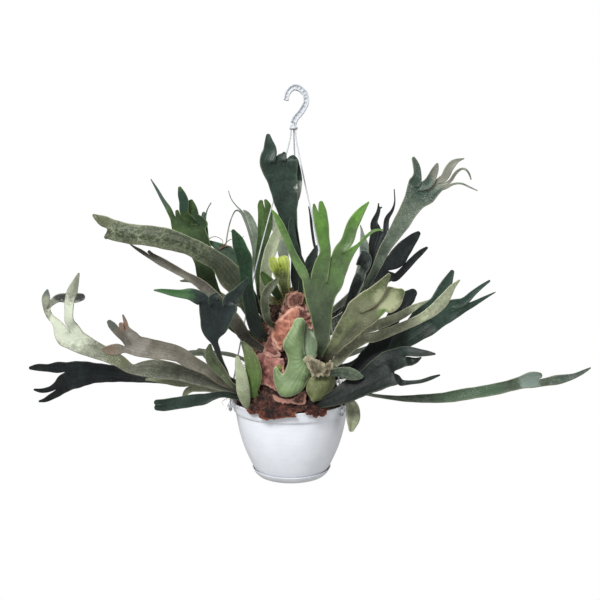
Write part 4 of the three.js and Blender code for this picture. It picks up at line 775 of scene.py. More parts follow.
# %% Mound
AROUND, UP, TOP_ROWS = 300, 170, 14
azimuths = np.linspace(0, TURN, AROUND, endpoint=False)
heights = np.append(np.linspace(118, 316, UP - TOP_ROWS), np.linspace(317, 326, TOP_ROWS))
shell = mound_point(azimuths[None], heights[:, None])
streaks = np.abs(waves(shell * [1, 1, 0.3], 11, 11)) * 2.4
crumbs = waves(shell, 17, 12) * 2.0 + waves(shell, 6, 13) * 0.9 + waves(shell, 3.1, 14) * 0.5
layers = np.abs(((shell[..., 2] + 9 * waves(shell, 60, 15)) / 19) % 1 - 0.4) * 4.0
shell = shell + outward(shell) * ((streaks + crumbs - layers) * step(shell[..., 2], 128, 140))[..., None]
piece("mound_skin", capped(shell, [[0, 0, 118], [6, -8, MOUND_TOP]]), ["mound"], "root_mound")
print("mound", shell.shape[:2], "points")

# %% [markdown]
# ## Shield fronds
# A shield is a round, lobed frond that presses itself against the mound. Green ones are plump, and their
# veins fork outwards to a wavy margin. Old ones are brown paper, torn at the edge. The plain ones are worked
# out on circles about a middle point, laid on the mound's own rule or over the rim of the pot.

# %% Round shields
lap_line = numbers("-26 111 110  -8 110 128  0 107.5 136  8 101 140.5  18 89 147  34 78 160", 3).T
SPOKES, RINGS, ROOT_DEGREES = 160, 26, -90


def seed_of(name):
    """A number that a name always gives."""
    return sum(ord(c) for c in name)


def lap_point(azimuth, way):
    """The way from the mound over the pot's rim and down outside it."""
    r, z = np.interp(way, *lap_line[:2]), np.interp(way, *lap_line[::2])
    return np.stack([r * np.cos(azimuth), r * np.sin(azimuth), z], -1)


def shield(node, skin, azimuth, height, wide, tall, out, lift, lap=False, notch=None, lean=0,
           scallops=(0, 0), eye=(0, 0), plump=0.0, torn=0.05, creases=0.0):
    """One old shield: rings of points about its middle. The outline is a circle with scallops, a notch and
    tears. At a share of the way to it, the sheet stands out + lift x share^3 mm off the mound, plus folds
    and creases."""
    a = np.linspace(0, TURN, SPOKES, endpoint=False)[None]
    share = (np.arange(1, RINGS + 1) / RINGS)[:, None]
    seed = seed_of(node)
    reach = 1 + scallops[1] * share * np.cos(scallops[0] * a)
    if notch:
        reach = reach - notch[1] * nearness(a, notch[0], notch[2])
    ragged = sum(size * np.sin(count * a + start * seed)
                 for size, count, start in ((0.5, 7, 1), (0.3, 13, 2), (0.35, 29, 1), (0.3, 47, 0)))
    reach = reach + share ** 4 * (torn * ragged + 0.05 * np.sin(6 * a + seed))
    x, y = wide / 2 * reach * share * np.cos(a), tall / 2 * reach * share * np.sin(a)
    t = math.radians(lean)
    across, up = x * math.cos(t) - y * math.sin(t), x * math.sin(t) + y * math.cos(t)
    flat = np.stack([across, up, 0 * across], -1)
    folds = share ** 3 * (2.6 * np.sin(6 * a + seed) + 1.3 * np.sin(11 * a)) + 0.4 * np.cos(a * 24) * share
    wrinkles = creases * (1 - 2 * np.abs(waves(flat, 44, seed)) ** 0.6 + 0.18 * waves(flat, 12, seed + 1))
    stand = out + lift * share ** 3 + folds + wrinkles * (1 - share ** 6) + plump * (0.6 - share ** 4)
    az = math.radians(azimuth)
    if lap:
        points = lap_point(az + across / RIM_RADIUS, height + up)
        points[..., 2] += stand
        middle = lap_point(az, height) + [0, 0, out]
        outer = share ** 2 * step(-np.sin(a), -0.2, 0.5)
    else:
        stand = stand - (1 + stand) * share ** 2 * nearness(a, ROOT_DEGREES, 40)
        z = np.clip(height + up, LOW_EDGE, HIGH_EDGE)
        base = mound_point(az + across / np.maximum(np.interp(z, mound_heights, mound_radii), 30), z)
        points = base + outward(base) * stand[..., None]
        points[..., 2] += height + up - z
        middle = mound_point(az, float(height))
        middle = middle + outward(middle) * (out + creases)
        outer = share ** 2 + 0 * a
    k = np.arange(SPOKES)
    tris = np.stack([0 * k + RINGS * SPOKES, k, (k + 1) % SPOKES], -1)
    edge = np.append(outer, 0)
    bearing = np.abs(np.arctan2(y - eye[1], x - eye[0])).ravel() / np.pi * 9
    plan = np.vstack([np.stack([bearing, np.repeat(share[:, 0], SPOKES)], -1), [[0, 0]]])
    shape = np.vstack([points.reshape(-1, 3), middle]), ring_quads(RINGS, SPOKES)[:, ::-1], tris
    thicken(piece(node + "_blade", shape, [skin], node, {"edge": edge}, plan), 1.2)


print("rim of the pot at", lap_point(0.0, 0.0))

# %% [markdown]
# The shields that show most have their own outlines: a kidney with a notch, a hood, and torn paper. An
# outline is filled with points and triangles and pressed onto the mound. Then each point's distance from the
# margin shapes it, which makes a plump rim, a curl or a fold.

# %% Shields of any outline


def even_line(corners, gap, soften=2):
    """A closed line through the corners: points gap mm apart, each the mean of itself and its neighbours."""
    loop = np.vstack([corners, corners[:1]])
    way = run_length(loop)
    at = np.linspace(0, way[-1], int(way[-1] / gap), endpoint=False)
    line = np.stack([np.interp(at, way, loop[:, 0]), np.interp(at, way, loop[:, 1])], -1)
    return np.mean([np.roll(line, k, axis=0) for k in range(-soften, soften + 1)], axis=0)


def from_line(p, line):
    """How far each point is from the closed line, and whether it is inside it (an even-odd count)."""
    a, b = line[None], np.roll(line, -1, axis=0)[None]
    run, off = b - a, p[:, None] - a
    share = np.clip((off * run).sum(-1) / (run ** 2).sum(-1), 0, 1)
    gap = np.linalg.norm(off - share[..., None] * run, axis=-1).min(1)
    crosses = (a[..., 1] > p[:, None, 1]) != (b[..., 1] > p[:, None, 1])
    rise = np.where(run[..., 1] == 0, 1e-9, run[..., 1])
    meets = a[..., 0] + run[..., 0] * off[..., 1] / rise
    return gap, (crosses & (p[:, None, 0] < meets)).sum(1) % 2 == 1


# %% Press a sheet onto the mound
WRAP = 0.8   # how far round the mound a sheet bends, as the sine of the angle


def on_mound(x, z, stand, turn):
    """Points x mm to the right and z mm up as seen from outside at turn degrees, stand mm off the mound."""
    low = np.clip(z, LOW_EDGE, HIGH_EDGE)
    azimuth = np.full_like(x, math.radians(turn))
    for _ in range(4):
        base = mound_point(azimuth, low)
        reach = np.hypot(base[:, 0], base[:, 1]) + stand
        lean = 6 * step(low, 180, MOUND_TOP) * (abs(turn + 90) < 20)
        share = (x - lean) / reach
        azimuth = math.radians(turn) + np.arcsin(np.clip(share, -WRAP, WRAP))
    points = mound_point(azimuth, low)
    points = points + outward(points) * stand[:, None]
    # Past the mound's side a sheet runs straight on.
    over = np.sign(share) * np.maximum(np.abs(share) - WRAP, 0) * reach / math.sqrt(1 - WRAP ** 2)
    points += over[:, None] * np.stack([-np.sin(azimuth), np.cos(azimuth), 0 * over], -1)
    points[:, 2] += z - low
    return points


def flat_points(x, z):
    """Points on a level sheet, for waves to read."""
    return np.stack([x, z, 0 * x], -1)


# %% Shape a sheet


def sheet(name, skin, corners, out, node=None, turn=-90, plump=0.0, curl=9.0, lift=0.0, torn=0.0,
          ripple=0.0, creases=0.0, pleats=0.0, eye=(0, 220), mm=0.8, gap=1.7):
    """A shield of any outline, laid on the mound. At d mm from the margin it stands out + plump x
    (1 - e^(-d/curl)) + lift x e^(-d/5) mm off it, plus creases, ripples at the margin and pleats from the
    eye. Its corners are mm to the right and mm up, seen from outside at turn degrees."""
    seed = seed_of(name)
    line = even_line(corners, gap)
    run = np.roll(line, -1, axis=0) - np.roll(line, 1, axis=0)
    normal = unit(np.stack([run[:, 1], -run[:, 0]], -1))
    if (run[:, 1] * line[:, 0]).sum() < 0:
        line, normal = line[::-1], -normal[::-1]
    flat = flat_points(*line.T)
    line = line + normal * (torn * (waves(flat, 7, seed) + 0.6 * waves(flat, 3, seed + 1)))[:, None]
    x, z = np.meshgrid(np.arange(line[:, 0].min(), line[:, 0].max(), gap),
                       np.arange(line[:, 1].min(), line[:, 1].max(), gap * 0.87))
    x[1::2] += gap / 2
    inner = np.stack([x.ravel(), z.ravel()], -1)
    away, inside = from_line(inner, line)
    filled = list(map(Vector, np.vstack([line, inner[inside & (away > gap * 0.55)]]).tolist()))
    filled, _, tris, *_ = delaunay_2d_cdt(filled, [], [list(range(len(line)))], 1, 1e-4)
    x, z = np.array(list(map(tuple, filled))).T
    away, _ = from_line(np.stack([x, z], -1), line)
    flat = flat_points(x, z)
    bearing, far = np.arctan2(z - eye[1], x - eye[0]), np.hypot(x - eye[0], z - eye[1])
    shaded_crease = 2 * np.abs(waves(flat, 26, seed)) ** 0.6 - 1
    stand = out + plump * (1 - np.exp(-away / curl)) + lift * np.exp(-away / 5) \
        + ripple * waves(flat, 16, seed) * np.exp(-away / 6) \
        + creases * (0.25 * waves(flat, 9, seed + 1) - shaded_crease) \
        - pleats * np.maximum(np.sin(bearing * 19 + far / 14), 0) ** 3 * np.exp(-far / 22)
    points = on_mound(x, z, stand, turn)
    a, b, c = points[list(tris[0])]
    order = [0, 1, 2] if np.cross(b - a, c - a) @ (a * [1, 1, 0]) > 0 else [0, 2, 1]
    edge = np.clip(1 - away / 12, 0, 1)
    # The crease depth also goes to the finish, which darkens the creases with it as painted shade.
    values = {"edge": edge, "side": edge * 0 + 1, "along": edge * 0 + 0.5,
              "shaded_crease": np.clip(shaded_crease, 0, 1) * (creases > 0)}
    plan = np.stack([np.abs(bearing) / np.pi * 9, far / 40], -1)
    thicken(piece(name, (points, np.array(tris)[:, order]), [skin], node, values, plan), mm)


# %% Shields seen from the front
sheet("shield_kidney_blade", "shield", numbers("""4 279  12 282  23 281  25 270  22 253
  22 237  23 224  23 216  28 208  32 200  33 193  28 186  25 179  21 171  15 165  7 161  -4 158  -14 158
  -19 162  -25 173  -28 183  -29 196  -27 203  -24 205  -21 201  -17 194  -13 191  -10 194  -8 200  -5 208
  -4 216  -7 223  -9 229  -13 233  -14 238  -13 245  -9 251  -5 259  -1 265  3 273"""),
      15, "shield_kidney", plump=10, curl=6, ripple=1.2, pleats=2.6, eye=(28, 219), mm=1.2)
sheet("shield_behind_blade", "lit", numbers("""20 271  27 274  33 271  40 260  45 252
  47 242  46 229  43 218  38 213  28 210  16 216  14 245"""),
      5, "shield_behind", plump=6, curl=6, ripple=0.8, pleats=1.5, eye=(34, 212), mm=1.2)
sheet("shield_right_blade", "shade", numbers("""30 187  38 189  47 190  56 191  61 197
  62 204  65 209  70 209  74 204  74 197  78 187  78 178  75 170  68 162  60 155  50 150  42 150  34 148
  33 153  29 159  25 165  25 173  26 181"""),
      12, "shield_right", plump=14, curl=7, ripple=1.2, pleats=1.5, eye=(60, 212), mm=1.2)
sheet("join_husk", "husk", numbers("""19 219  26 222  31 226  37 219  46 216  57 211  64 214
  70 210  72 200  66 191  56 190  46 192  35 190  32 198  25 212"""),
      25, plump=3, torn=2.2, ripple=2.4, creases=3.6, lift=2.5, gap=1.2)
sheet("old_shield_front_paper", "rosy", numbers("""-57 219  -46 224  -38 222  -26 221
  -18 217  -10 213  -10 207  -11 198  -5 181  -6 164  -16 160  -27 164  -38 170  -50 172  -58 182  -62 195
  -60 209"""), 3, "old_shield_front", plump=6, curl=5, torn=1.0, ripple=1.6, creases=1.8, mm=0.9)
sheet("old_shield_upper_paper", "mauve", numbers("""-12 320  2 324  22 322  28 304  38 284
  43 266  36 250  10 240  -14 236  -24 244  -28 262  -22 284  -16 304"""),
      1, "old_shield_upper", plump=4, curl=9, torn=1.2, ripple=2.0, creases=3.4, mm=0.9)
sheet("lit_paper", "old", numbers("""-13 288  -6 295  0 298  8 302  13 298  15 290  13 282
  10 274  2 265  -3 257  -8 247  -13 238  -15 230  -18 228  -23 233  -29 241  -34 249  -35 258  -33 269
  -26 276  -20 282"""), 9, plump=5, curl=6, torn=0.8, ripple=1.5, creases=1.6, lift=1.0)
sheet("torn_paper", "mauve", numbers("""8 302  20 298  28 291  38 282  43 267  38 259
  30 267  23 271  15 274  8 277"""), 7, plump=2, torn=1.6, ripple=2.4, creases=3.4, lift=2.0, gap=1.3)
sheet("rolled_paper", "umber", numbers("""-11 313  -5 319  2 322  12 324  22 321  25 312
  22 302  10 299  2 295  -7 296  -12 304"""),
      8, plump=6, curl=3, torn=0.6, ripple=1.2, creases=1.6, gap=1.3)
sheet("crest_paper", "umber", numbers("""-12 326  1 328  20 335  29 330  30 316  23 308
  18 318  7 322  -7 319  -13 311"""), 3, plump=2, torn=1.2, ripple=2.0, creases=2.0, lift=2.0, gap=1.3)
sheet("left_scraps", "mauve", numbers("""-49 267  -44 261  -38 262  -31 267  -28 251
  -26 238  -18 226  -16 217  -29 217  -44 221  -47 232  -46 242  -51 251"""),
      4, plump=2, torn=2.2, ripple=2.4, creases=3.2, lift=2.5, gap=1.3)
sheet("low_paper", "umber", numbers("""-30 160  -17 154  -1 154  10 158  17 164  25 166
  25 154  23 143  12 144  -1 147  -14 147  -27 150"""),
      4, plump=3, torn=1.4, ripple=2.0, creases=2.0, lift=1.5, gap=1.3)
sheet("notch_bud", "young",
      numbers("-22 207  -17 208  -14 200  -15 193  -19 194  -22 200"), 5, plump=7, curl=2, mm=1, gap=0.9)

# %% Shields at the left and the rim
shield("old_shield_left", "mauve", -118, 244, 40, 52, out=2, lift=3, notch=(-70, 0.3, 24), lean=-10,
       eye=(10, 20), plump=2, creases=3.0)
for name, azimuth, wide, tall, scallops in (("old_rim_left", -106, 96, 36, (7, 0.1)),
                                            ("old_rim_right", -66, 46, 32, (5, 0.1))):
    shield(name, "scrap", azimuth, 4, wide, tall, out=0, lift=2, lap=True, scallops=scallops, torn=0.06)

# %% Older paper round the sides and the back of the mound
# Each is the azimuth it faces in degrees, its middle's height, its width and its height in mm, and its skin.
old_layers = [(-150, 240, 50, 66, "mauve"), (-34, 258, 50, 70, "mauve"), (-8, 214, 62, 80, "old"),
              (30, 252, 58, 84, "mauve"), (66, 208, 70, 80, "old"), (100, 256, 62, 80, "mauve"),
              (138, 212, 70, 84, "old"), (176, 250, 60, 76, "mauve"), (-168, 196, 56, 60, "old")]
for number, (azimuth, height, wide, tall, skin) in enumerate(old_layers):
    around = np.linspace(0, TURN, 14, endpoint=False)
    reach = 0.5 + 0.09 * np.sin(3 * around + number) + 0.05 * np.sin(5 * around + 2 * number)
    ring = np.stack([wide * reach * np.cos(around), height + tall * reach * np.sin(around)], -1)
    sheet(f"old_layer_{number}", skin, ring, 3, turn=azimuth, plump=4, curl=8, torn=1.6,
          ripple=2.2, creases=2.6, lift=1.5, gap=2.4)
print("shields ready")

# %% [markdown]
# ## Antler fronds
# A frond rises from its foot as a narrow, thick strap, widens, and forks again and again. A blade is a strip
# of columns along its rib. Where it forks, each lobe carries on with its share of the columns, so the whole
# frond is one sheet. The rib points and widths are those of the frond's solid. `sweep` bends the frond away
# from or towards the front, as seen along the fan of fronds.

# %% How a frond is written down
FAN_EYE = (15, -1200, 423)
FRONT, FRONT_UP, UP_FACE = (0, -1, 0.15), (0, -1, 0.7), (0, -0.35, 1)
RISING = (FRONT_UP, FRONT)   # the face looks up at the foot, and to the front at the tip


def blade(words):
    """A blade from its words, up to the bracket that ends it: x, y, z and width in mm at each rib point,
    three numbers for the way that its face comes to look, and each lobe in brackets of its own."""
    rib, look, lobes = [], None, []
    while words:
        word = words.pop(0)
        if word == ")":
            break
        if word == "(":
            lobes.append(blade(words))
            continue
        row = [float(n) for n in word.split()]
        if len(row) == 3:
            look = row
        else:
            rib.append(row)
    return {"rib": np.array(rib), "look": look, "lobes": lobes}


print("a blade with two lobes", blade("0 0 0 9, 0 0 50 20,(,9 0 70 5,),(,-9 0 70 5,)".split(",")))

# %% Sweep a frond


def reach_of(b, foot):
    """How far from the foot the furthest rib point is."""
    own = np.linalg.norm(b["rib"][:, :3] - foot, axis=1).max()
    return max([own] + [reach_of(lobe, foot) for lobe in b["lobes"]])


def swept(b, foot, reach, sweep):
    """Carries each rib point back, away from the eye, by sweep times (its distance from the foot over the
    reach) squared, and widens it in step."""
    back = sweep * (np.linalg.norm(b["rib"][:, :3] - foot, axis=1) / reach) ** 2
    spread = (1 + back / (b["rib"][:, 1] - FAN_EYE[1]))[:, None]
    fixed = np.array([FAN_EYE[0], 0, FAN_EYE[2], 0])
    rib = fixed + (b["rib"] - fixed) * spread
    rib[:, 1] = b["rib"][:, 1] + back
    return {**b, "rib": rib, "lobes": [swept(lobe, foot, reach, sweep) for lobe in b["lobes"]]}


# %% [markdown]
# The sheet is laid in rows of points about 6 mm apart. Between rib points the rib is a Catmull-Rom curve,
# which passes through each point. The upper face turns from its first look to its last. The margins ripple a
# little, as living blades do, and each tip is rounded off.

# %% Lay a frond's sheet
ROW, LOBE_COLUMNS = 6.0, 4


def columns_of(b):
    """A lobe has four columns, and a blade has those of its lobes."""
    return sum(columns_of(lobe) for lobe in b["lobes"]) if b["lobes"] else LOBE_COLUMNS


def lay(parts, b, look, cup, column=0, way=0.0, start=None, phase=0.0):
    """Adds a blade's rows and then its lobes; start is the row of points that it grows from. A point at v
    times the half width stands off the rib by a fold, grooves and a ripple at the margin."""
    columns = columns_of(b)
    rib, before = b["rib"], None
    first = start["look"] if start else unit(np.array(look[0], float))
    last = b["look"] if start else look[1]
    last = first if last is None else unit(np.array(last, float))
    if start:
        rib = np.vstack([start["centre"], rib])
        before = rib[0].copy()
        before[:3] -= start["run"] * np.linalg.norm(rib[1, :3] - rib[0, :3])
    rows = smooth(rib, ROW, before)
    if not b["lobes"]:
        t = np.array([0.3, 0.58, 0.8, 0.94, 0.995])[:, None]
        ahead = unit(rows[-1, :3] - rows[-2, :3])
        cap = np.hstack([rows[-1, :3] + ahead * rows[-1, 3] * 0.42 * t, rows[-1, 3] * np.sqrt(1 - t ** 2)])
        rows = np.vstack([rows, cap])
    share = np.linspace(0, 1, len(rows))[:, None]
    centre, half = rows[:, :3], np.maximum(rows[:, 3:] / 2, 0.12)[:, None]
    reach = way + run_length(centre)
    run = unit(np.gradient(centre, axis=0))
    facing = unit(first * (1 - share) + last * share)
    side = unit(np.cross(facing, run))
    up = np.cross(run, side)
    v = np.linspace(1, -1, columns + 1)[None, :, None]
    far = reach[:, None, None]
    ripple = np.sin(far / 13 + phase + 1.3 * v) * 0.05 + np.sin(far / 31 + 2 * phase) * 0.07
    fold = cup * (0.7 * np.abs(v) ** 1.2 + 0.3 * v ** 2)
    grooves = np.cos(v * np.pi * (2 + columns / 2) + 0.6 * np.sin(far / 40 + phase))
    grooves = grooves * 0.035 * np.minimum(1, 10 / half)
    lift = fold + grooves + ripple * np.abs(v) * v * 1.4
    wear = 0.02 * np.sin(far / 4.1 + phase) + 0.03 * np.sin(far / 9.7 + 3 * v + phase)
    notched = v * (1 + np.abs(v) ** 3 * wear)
    points = centre[:, None] + (side[:, None] * notched + up[:, None] * lift) * half
    keep = slice(1, None) if start else slice(None)
    new = points[keep].reshape(-1, 3)
    count = sum(map(len, parts["points"]))
    table = count + np.arange(len(new)).reshape(-1, columns + 1)
    if start:
        table = np.vstack([start["row"], table])
    side_value = np.clip(v.ravel() * 0.3 + 0.6, 0, 1) if start else v.ravel() / 2 + 0.5
    far = np.repeat(reach[keep], columns + 1)
    whole = len(points[keep])
    parts["points"].append(new)
    parts["plan"].append(np.stack([np.tile(column + np.arange(columns + 1), whole) / 4, far / 100], -1))
    parts["edge"].append(np.tile(np.abs(v.ravel()) ** 3, whole))
    parts["side"].append(np.tile(side_value, whole))
    parts["way"].append(far)
    quads = np.stack([table[:-1, :-1], table[:-1, 1:], table[1:, 1:], table[1:, :-1]], -1)
    parts["quads"].append(quads.reshape(-1, 4))
    done = 0
    for number, lobe in enumerate(b["lobes"]):
        many = columns_of(lobe)
        left, right = points[-1, done], points[-1, done + many]
        grown = {"row": table[-1, done:done + many + 1], "run": run[-1], "look": facing[-1],
                 "centre": np.array([*(left + right) / 2, np.linalg.norm(right - left)])}
        lay(parts, lobe, look, cup, column + done, reach[-1], grown, phase + 1.7 * number)
        done += many


# %% Make a frond


def frond(node, skin, text, look=(FRONT, FRONT), sweep=0, cup=0.15, under="under"):
    """Makes one frond over its solid: sheet, map, values, smooth rounding and thickness."""
    whole = blade([w for w in text.replace("(", ",(,").replace(")", ",),").split(",") if w.strip()])
    foot = whole["rib"][0, :3]
    whole = swept(whole, foot, reach_of(whole, foot), sweep)
    parts = {key: [] for key in ("points", "quads", "plan", "edge", "side", "way")}
    lay(parts, whole, look, cup, phase=seed_of(node) % 6)
    parts = {key: np.concatenate(value) for key, value in parts.items()}
    way = parts["way"]
    made = piece(node + "_blade", (parts["points"], parts["quads"]), [skin, under], node,
                 {"edge": parts["edge"], "side": parts["side"], "along": way / way.max()}, parts["plan"])
    group = made.vertex_groups.new(name="foot")
    weight = np.round(np.clip(1 - way / 110, 0, 1) * 10) / 10
    for level in np.unique(weight):
        group.add(np.flatnonzero(weight == level).tolist(), float(level), "REPLACE")
    modifier = made.modifiers.new("round", "SUBSURF")
    modifier.levels = modifier.render_levels = 1
    thicken(made, 3.4, "foot", 0.38)


# %% [markdown]
# Each frond is written as its rib points: x, y, z and width in millimetres, with commas between them. A lobe
# stands in brackets after the point that it grows from.

# %% Left fan
# The left fan grows from the pup on the left flank, over the rim of the pot.
frond("antler_left", "ash", """-84 -46 152 9, -122 -52 165 15, -151 -56 177 20,
  -187 -58 189 26.5, -225 -60 196 33, -246 -60 196 25, -264 -60 196 15.5, -282 -60 209 20.5,
  -301 -61 219 24, -317 -62 226 25.5, -333 -63 234 31, -351 -64 244 37.5, -364 -66 255 44 (0.2 -1 0.1,
  -381 -68 273 14.5, -392 -68 284 10.5, -397 -68 296 10 (-397 -70 312 13, -396 -70 321 11.5,
  -394 -70 328 3) (-386 -50 312 14, -373 -40 312 16, -358 -34 312 16, -350 -32 313 11.5))
  (-359 -74 279 15.5, -358 -76 296 14.5, -356 -77 312 15.5, -351 -77 327 17, -346 -76 341 11.5,
  -341 -75 355 3)""", look=RISING, sweep=-25)
frond("forked_left", "taupe", """-76 -54 158 9, -114 -62 175 13, -131 -68 191 16.5,
  -148 -72 202 19.5, -164 -75 211 23, -180 -77 223 25, -199 -79 229 28.5, -220 -80 232 30,
  -234 -80 235 31, -249 -80 238 33, -260 -80 244 39.5 (-278 -79 232 19.5, -293 -78 231 17, -303 -77 232 8)
  (-267 -88 251 10.5, -277 -92 264 13, -286 -93 275 12, -289 -93 279 8) (-268 -78 262 18 (-274 -78 273 8)
  (-267 -78 277 6.5, -271 -78 288 2.5))""", look=RISING, sweep=-60)
frond("dark_left", "black", """-80 -20 148 10, -158 -8 163 14, -208 2 164 15.5,
  -248 8 166 16, -284 12 169 22, -320 15 173 30, -356 18 173 39.5, -381 20 170 48,
  -396 20 167 53 (-412 20 146 25 (-427 20 130 11.5, -438 20 124 8, -448 20 122 3.5) (-428 20 144 10,
  -443 20 141 8, -456 20 143 3.5)) (-413 20 183 19.5, -431 20 182 14, -448 20 183 12.5,
  -462 20 182 5.5)""", look=RISING, sweep=70)
frond("low_left", "deep", """-76 -60 145 9, -110 -66 155 10, -128 -72 153 13,
  -142 -76 149 18, -157 -78 148 19.5, -177 -80 145 20.5, -193 -82 143 19.5,
  -206 -83 141 19.5 (-218 -84 138 10) (-219 -84 146 9)""", look=RISING, sweep=-50)
frond("under_left", "strap", """-80 -26 150 9, -128 -28 156 13.5, -150 -28 160 18.5,
  -165 -28 162 22 (-176 -30 153 11, -182 -30 145 7) (-184 -28 165 13.5, -210 -28 170 13.5,
  -234 -27 172 8.5, -247 -26 171 3.5)""", look=RISING)
frond("strap_left", "olive", """-62 -62 160 8, -94 -84 173 8, -106 -86 189 13.5,
  -119 -88 205 18.5, -128 -90 220 18.5, -131 -90 233 13.5, -129 -90 241 5""")
frond("kinked_left", "kinked", """-64 -54 168 9, -99 -66 179 7.5, -107 -74 197 7.5,
  -114 -82 217 7.5, -118 -88 234 9, -122 -91 246 11, -124 -93 256 27, -123 -94 268 43, -119 -96 284 50,
  -116 -97 297 57, -114 -97 307 63.5 (-149 -98 320 23, -159 -98 324 19, -172 -98 324 13.5,
  -187 -98 326 10.5, -203 -98 329 7, -215 -98 330 2.5) (-124 -98 315 20.5, -117 -98 322 9.5)
  (-97 -98 311 23.5, -86 -98 322 20, -77 -98 335 12.5, -67 -98 348 4.5)""", sweep=-35)
frond("high_left", "grass", """-38 -14 238 9, -92 -4 253 15.5, -120 2 289 24, -141 6 323 31,
  -148 8 351 32, -152 10 377 34.5, -160 12 399 43, -171 15 416 55.5,
  -175 18 430 62.5 (-200 20 446 19 (-213 22 462 9.5, -222 23 476 6.5, -232 24 494 5, -243 26 512 1.5)
  (-198 22 457 6)) (-183 10 452 15.5, -183 8 471 16.5, -187 6 486 13, -190 6 496 6) (-170 20 445 23.5,
  -172 22 463 17.5, -174 24 474 8.5)""", sweep=50, under="grass")
frond("spear_left", "fresh", """-26 28 262 9, -80 48 318 12, -126 58 370 14, -154 60 375 18,
  -156 60 398 16, -157 60 421 15, -158 60 441 10.5 (-157 60 455 5.5) (-153 62 455 2.5, -149 62 465 1.5,
  -144 62 473 1.5)""", sweep=45)
frond("strap_long", "thong", """-38 -42 220 9, -73 -50 245 16.5, -84 -54 263 21.5,
  -96 -55 280 22, -115 -54 303 20.5, -136 -52 325 17.5, -154 -51 340 15, -174 -50 351 12.5,
  -195 -50 363 12.5, -215 -50 374 13.5, -229 -50 382 11.5 (-244 -50 389 6.5, -257 -50 397 3.5,
  -265 -50 403 1.5) (-233 -48 389 5.5)""")
frond("mottled_left", "mottled", """-26 -30 282 10, -60 -38 278 15, -78 -42 317 31.5,
  -98 -46 347 41.5, -116 -49 371 33, -141 -52 386 31, -165 -54 399 30, -197 -56 410 33.5, -229 -57 416 35,
  -261 -58 419 32.5, -284 -58 424 34, -295 -58 427 35.5 (-300 -58 413 7.5) (-306 -58 440 17,
  -319 -58 448 5)""", look=RISING, sweep=-35, cup=-0.3)
frond("blade_left", "fresh", """-34 -40 240 9, -54 -56 257 20, -62 -62 281 22,
  -67 -68 308 21, -71 -72 336 20, -72 -74 361 22.5, -74 -75 377 25, -80 -75 393 22.5, -85 -75 409 18.5,
  -92 -74 423 6.5""", sweep=-15, under="fresh")
frond("wispy_left", "dusk", """-18 10 280 9, -45 18 285 14, -53 30 316 14, -58 38 344 16,
  -61 40 365 17 (-66 40 391 7, -73 40 418 6, -80 40 439 5.5, -86 40 454 5.5 (-1 -1 0.3, -96 40 460 3,
  -102 36 453 2, -108 34 437 2, -113 34 414 2, -116 34 391 1.5) (-97 42 467 2, -106 44 479 1.5,
  -111 46 493 1.5)) (-61 42 390 11.5, -63 42 411 11.5, -66 42 428 12.5, -73 42 445 10.5, -79 42 455 8,
  -84 42 459 2.5)""", sweep=40)
frond("twin_left", "grass", """-16 -2 292 9, -49 8 304 12, -55 12 338 13, -56 14 370 14.5,
  -52 14 394 17.5, -48 14 414 20.5, -45 14 432 25 (-50 15 452 14.5, -53 15 468 11, -52 15 473 7.5)
  (-38 10 452 12, -40 8 466 11, -44 8 475 5)""", sweep=15)
frond("felted_left", "pale", """-10 -14 300 9, -42 -4 309 17, -44 -3 336 19.5,
  -42 -2 363 20.5, -36 0 387 20.5, -28 0 408 19, -21 0 426 13, -17 0 438 5""", sweep=5)
print("left fan laid")

# %% Crown
# The crown stands up from the top of the mound.
frond("tall_dark", "deep", """11 -22 312 10, 9 -28 345 18.5, 10 -33 372 18.5, 6 -35 398 19,
  0 -35 423 22.5, -5 -35 448 30, -8 -35 471 39, -11 -35 493 46, -16 -35 516 55,
  -20 -35 536 62.5 (-34 -36 552 24.5, -36 -36 568 14.5, -37 -35 578 7.5) (-12 -35 545 15, -11 -35 549 7.5)
  (0.2 -1 0.4, 2 -33 540 14, 5 -30 543 12.5, 8 -26 535 10.5, 13 -25 510 11, 13 -25 487 7.5,
  12 -25 475 2.5)""", sweep=-8, under="deep")
frond("spear_front", "deep", """14 -24 306 8, 19 -50 362 10.5, 11 -51 385 11.5,
  4 -51 408 11.5, 1 -50 431 10.5, 1 -50 442 5.5""")
frond("bright_fork", "bright", """44 -52 214 9, 51 -84 240 17, 50 -92 266 27,
  49 -98 290 34, 47 -100 311 42, 48 -100 329 55, 50 -100 340 64.5 (20 -98 357 15, 6 -93 382 12,
  -5 -88 409 10.5, -15 -84 431 10.5, -23 -80 447 7, -30 -78 456 2.5) (49 -102 368 25, 55 -102 390 18,
  52 -101 409 18, 49 -99 431 22, 47 -97 445 23.5 (38 -95 456 8, 37 -94 464 4) (50 -95 454 13.5,
  48 -93 467 7)) (75 -101 367 31.5, 82 -100 387 31.5 (89 -97 407 19.5, 97 -93 431 19.5, 109 -89 451 14,
  123 -85 468 3) (106 -102 401 5.5, 115 -102 411 5, 126 -101 421 4.5, 136 -101 425 4,
  145 -100 425 2))""", sweep=-35)
frond("narrow_back", "deep", """15 8 306 9, 24 14 321 14, 27 18 348 17.5 (34 20 369 19,
  42 22 390 9.5, 46 22 399 2.5) (43 24 380 5, 39 24 404 4.5, 35 24 432 4.5, 33 24 452 4,
  30 24 465 1.5)""", sweep=30)
print("crown laid")

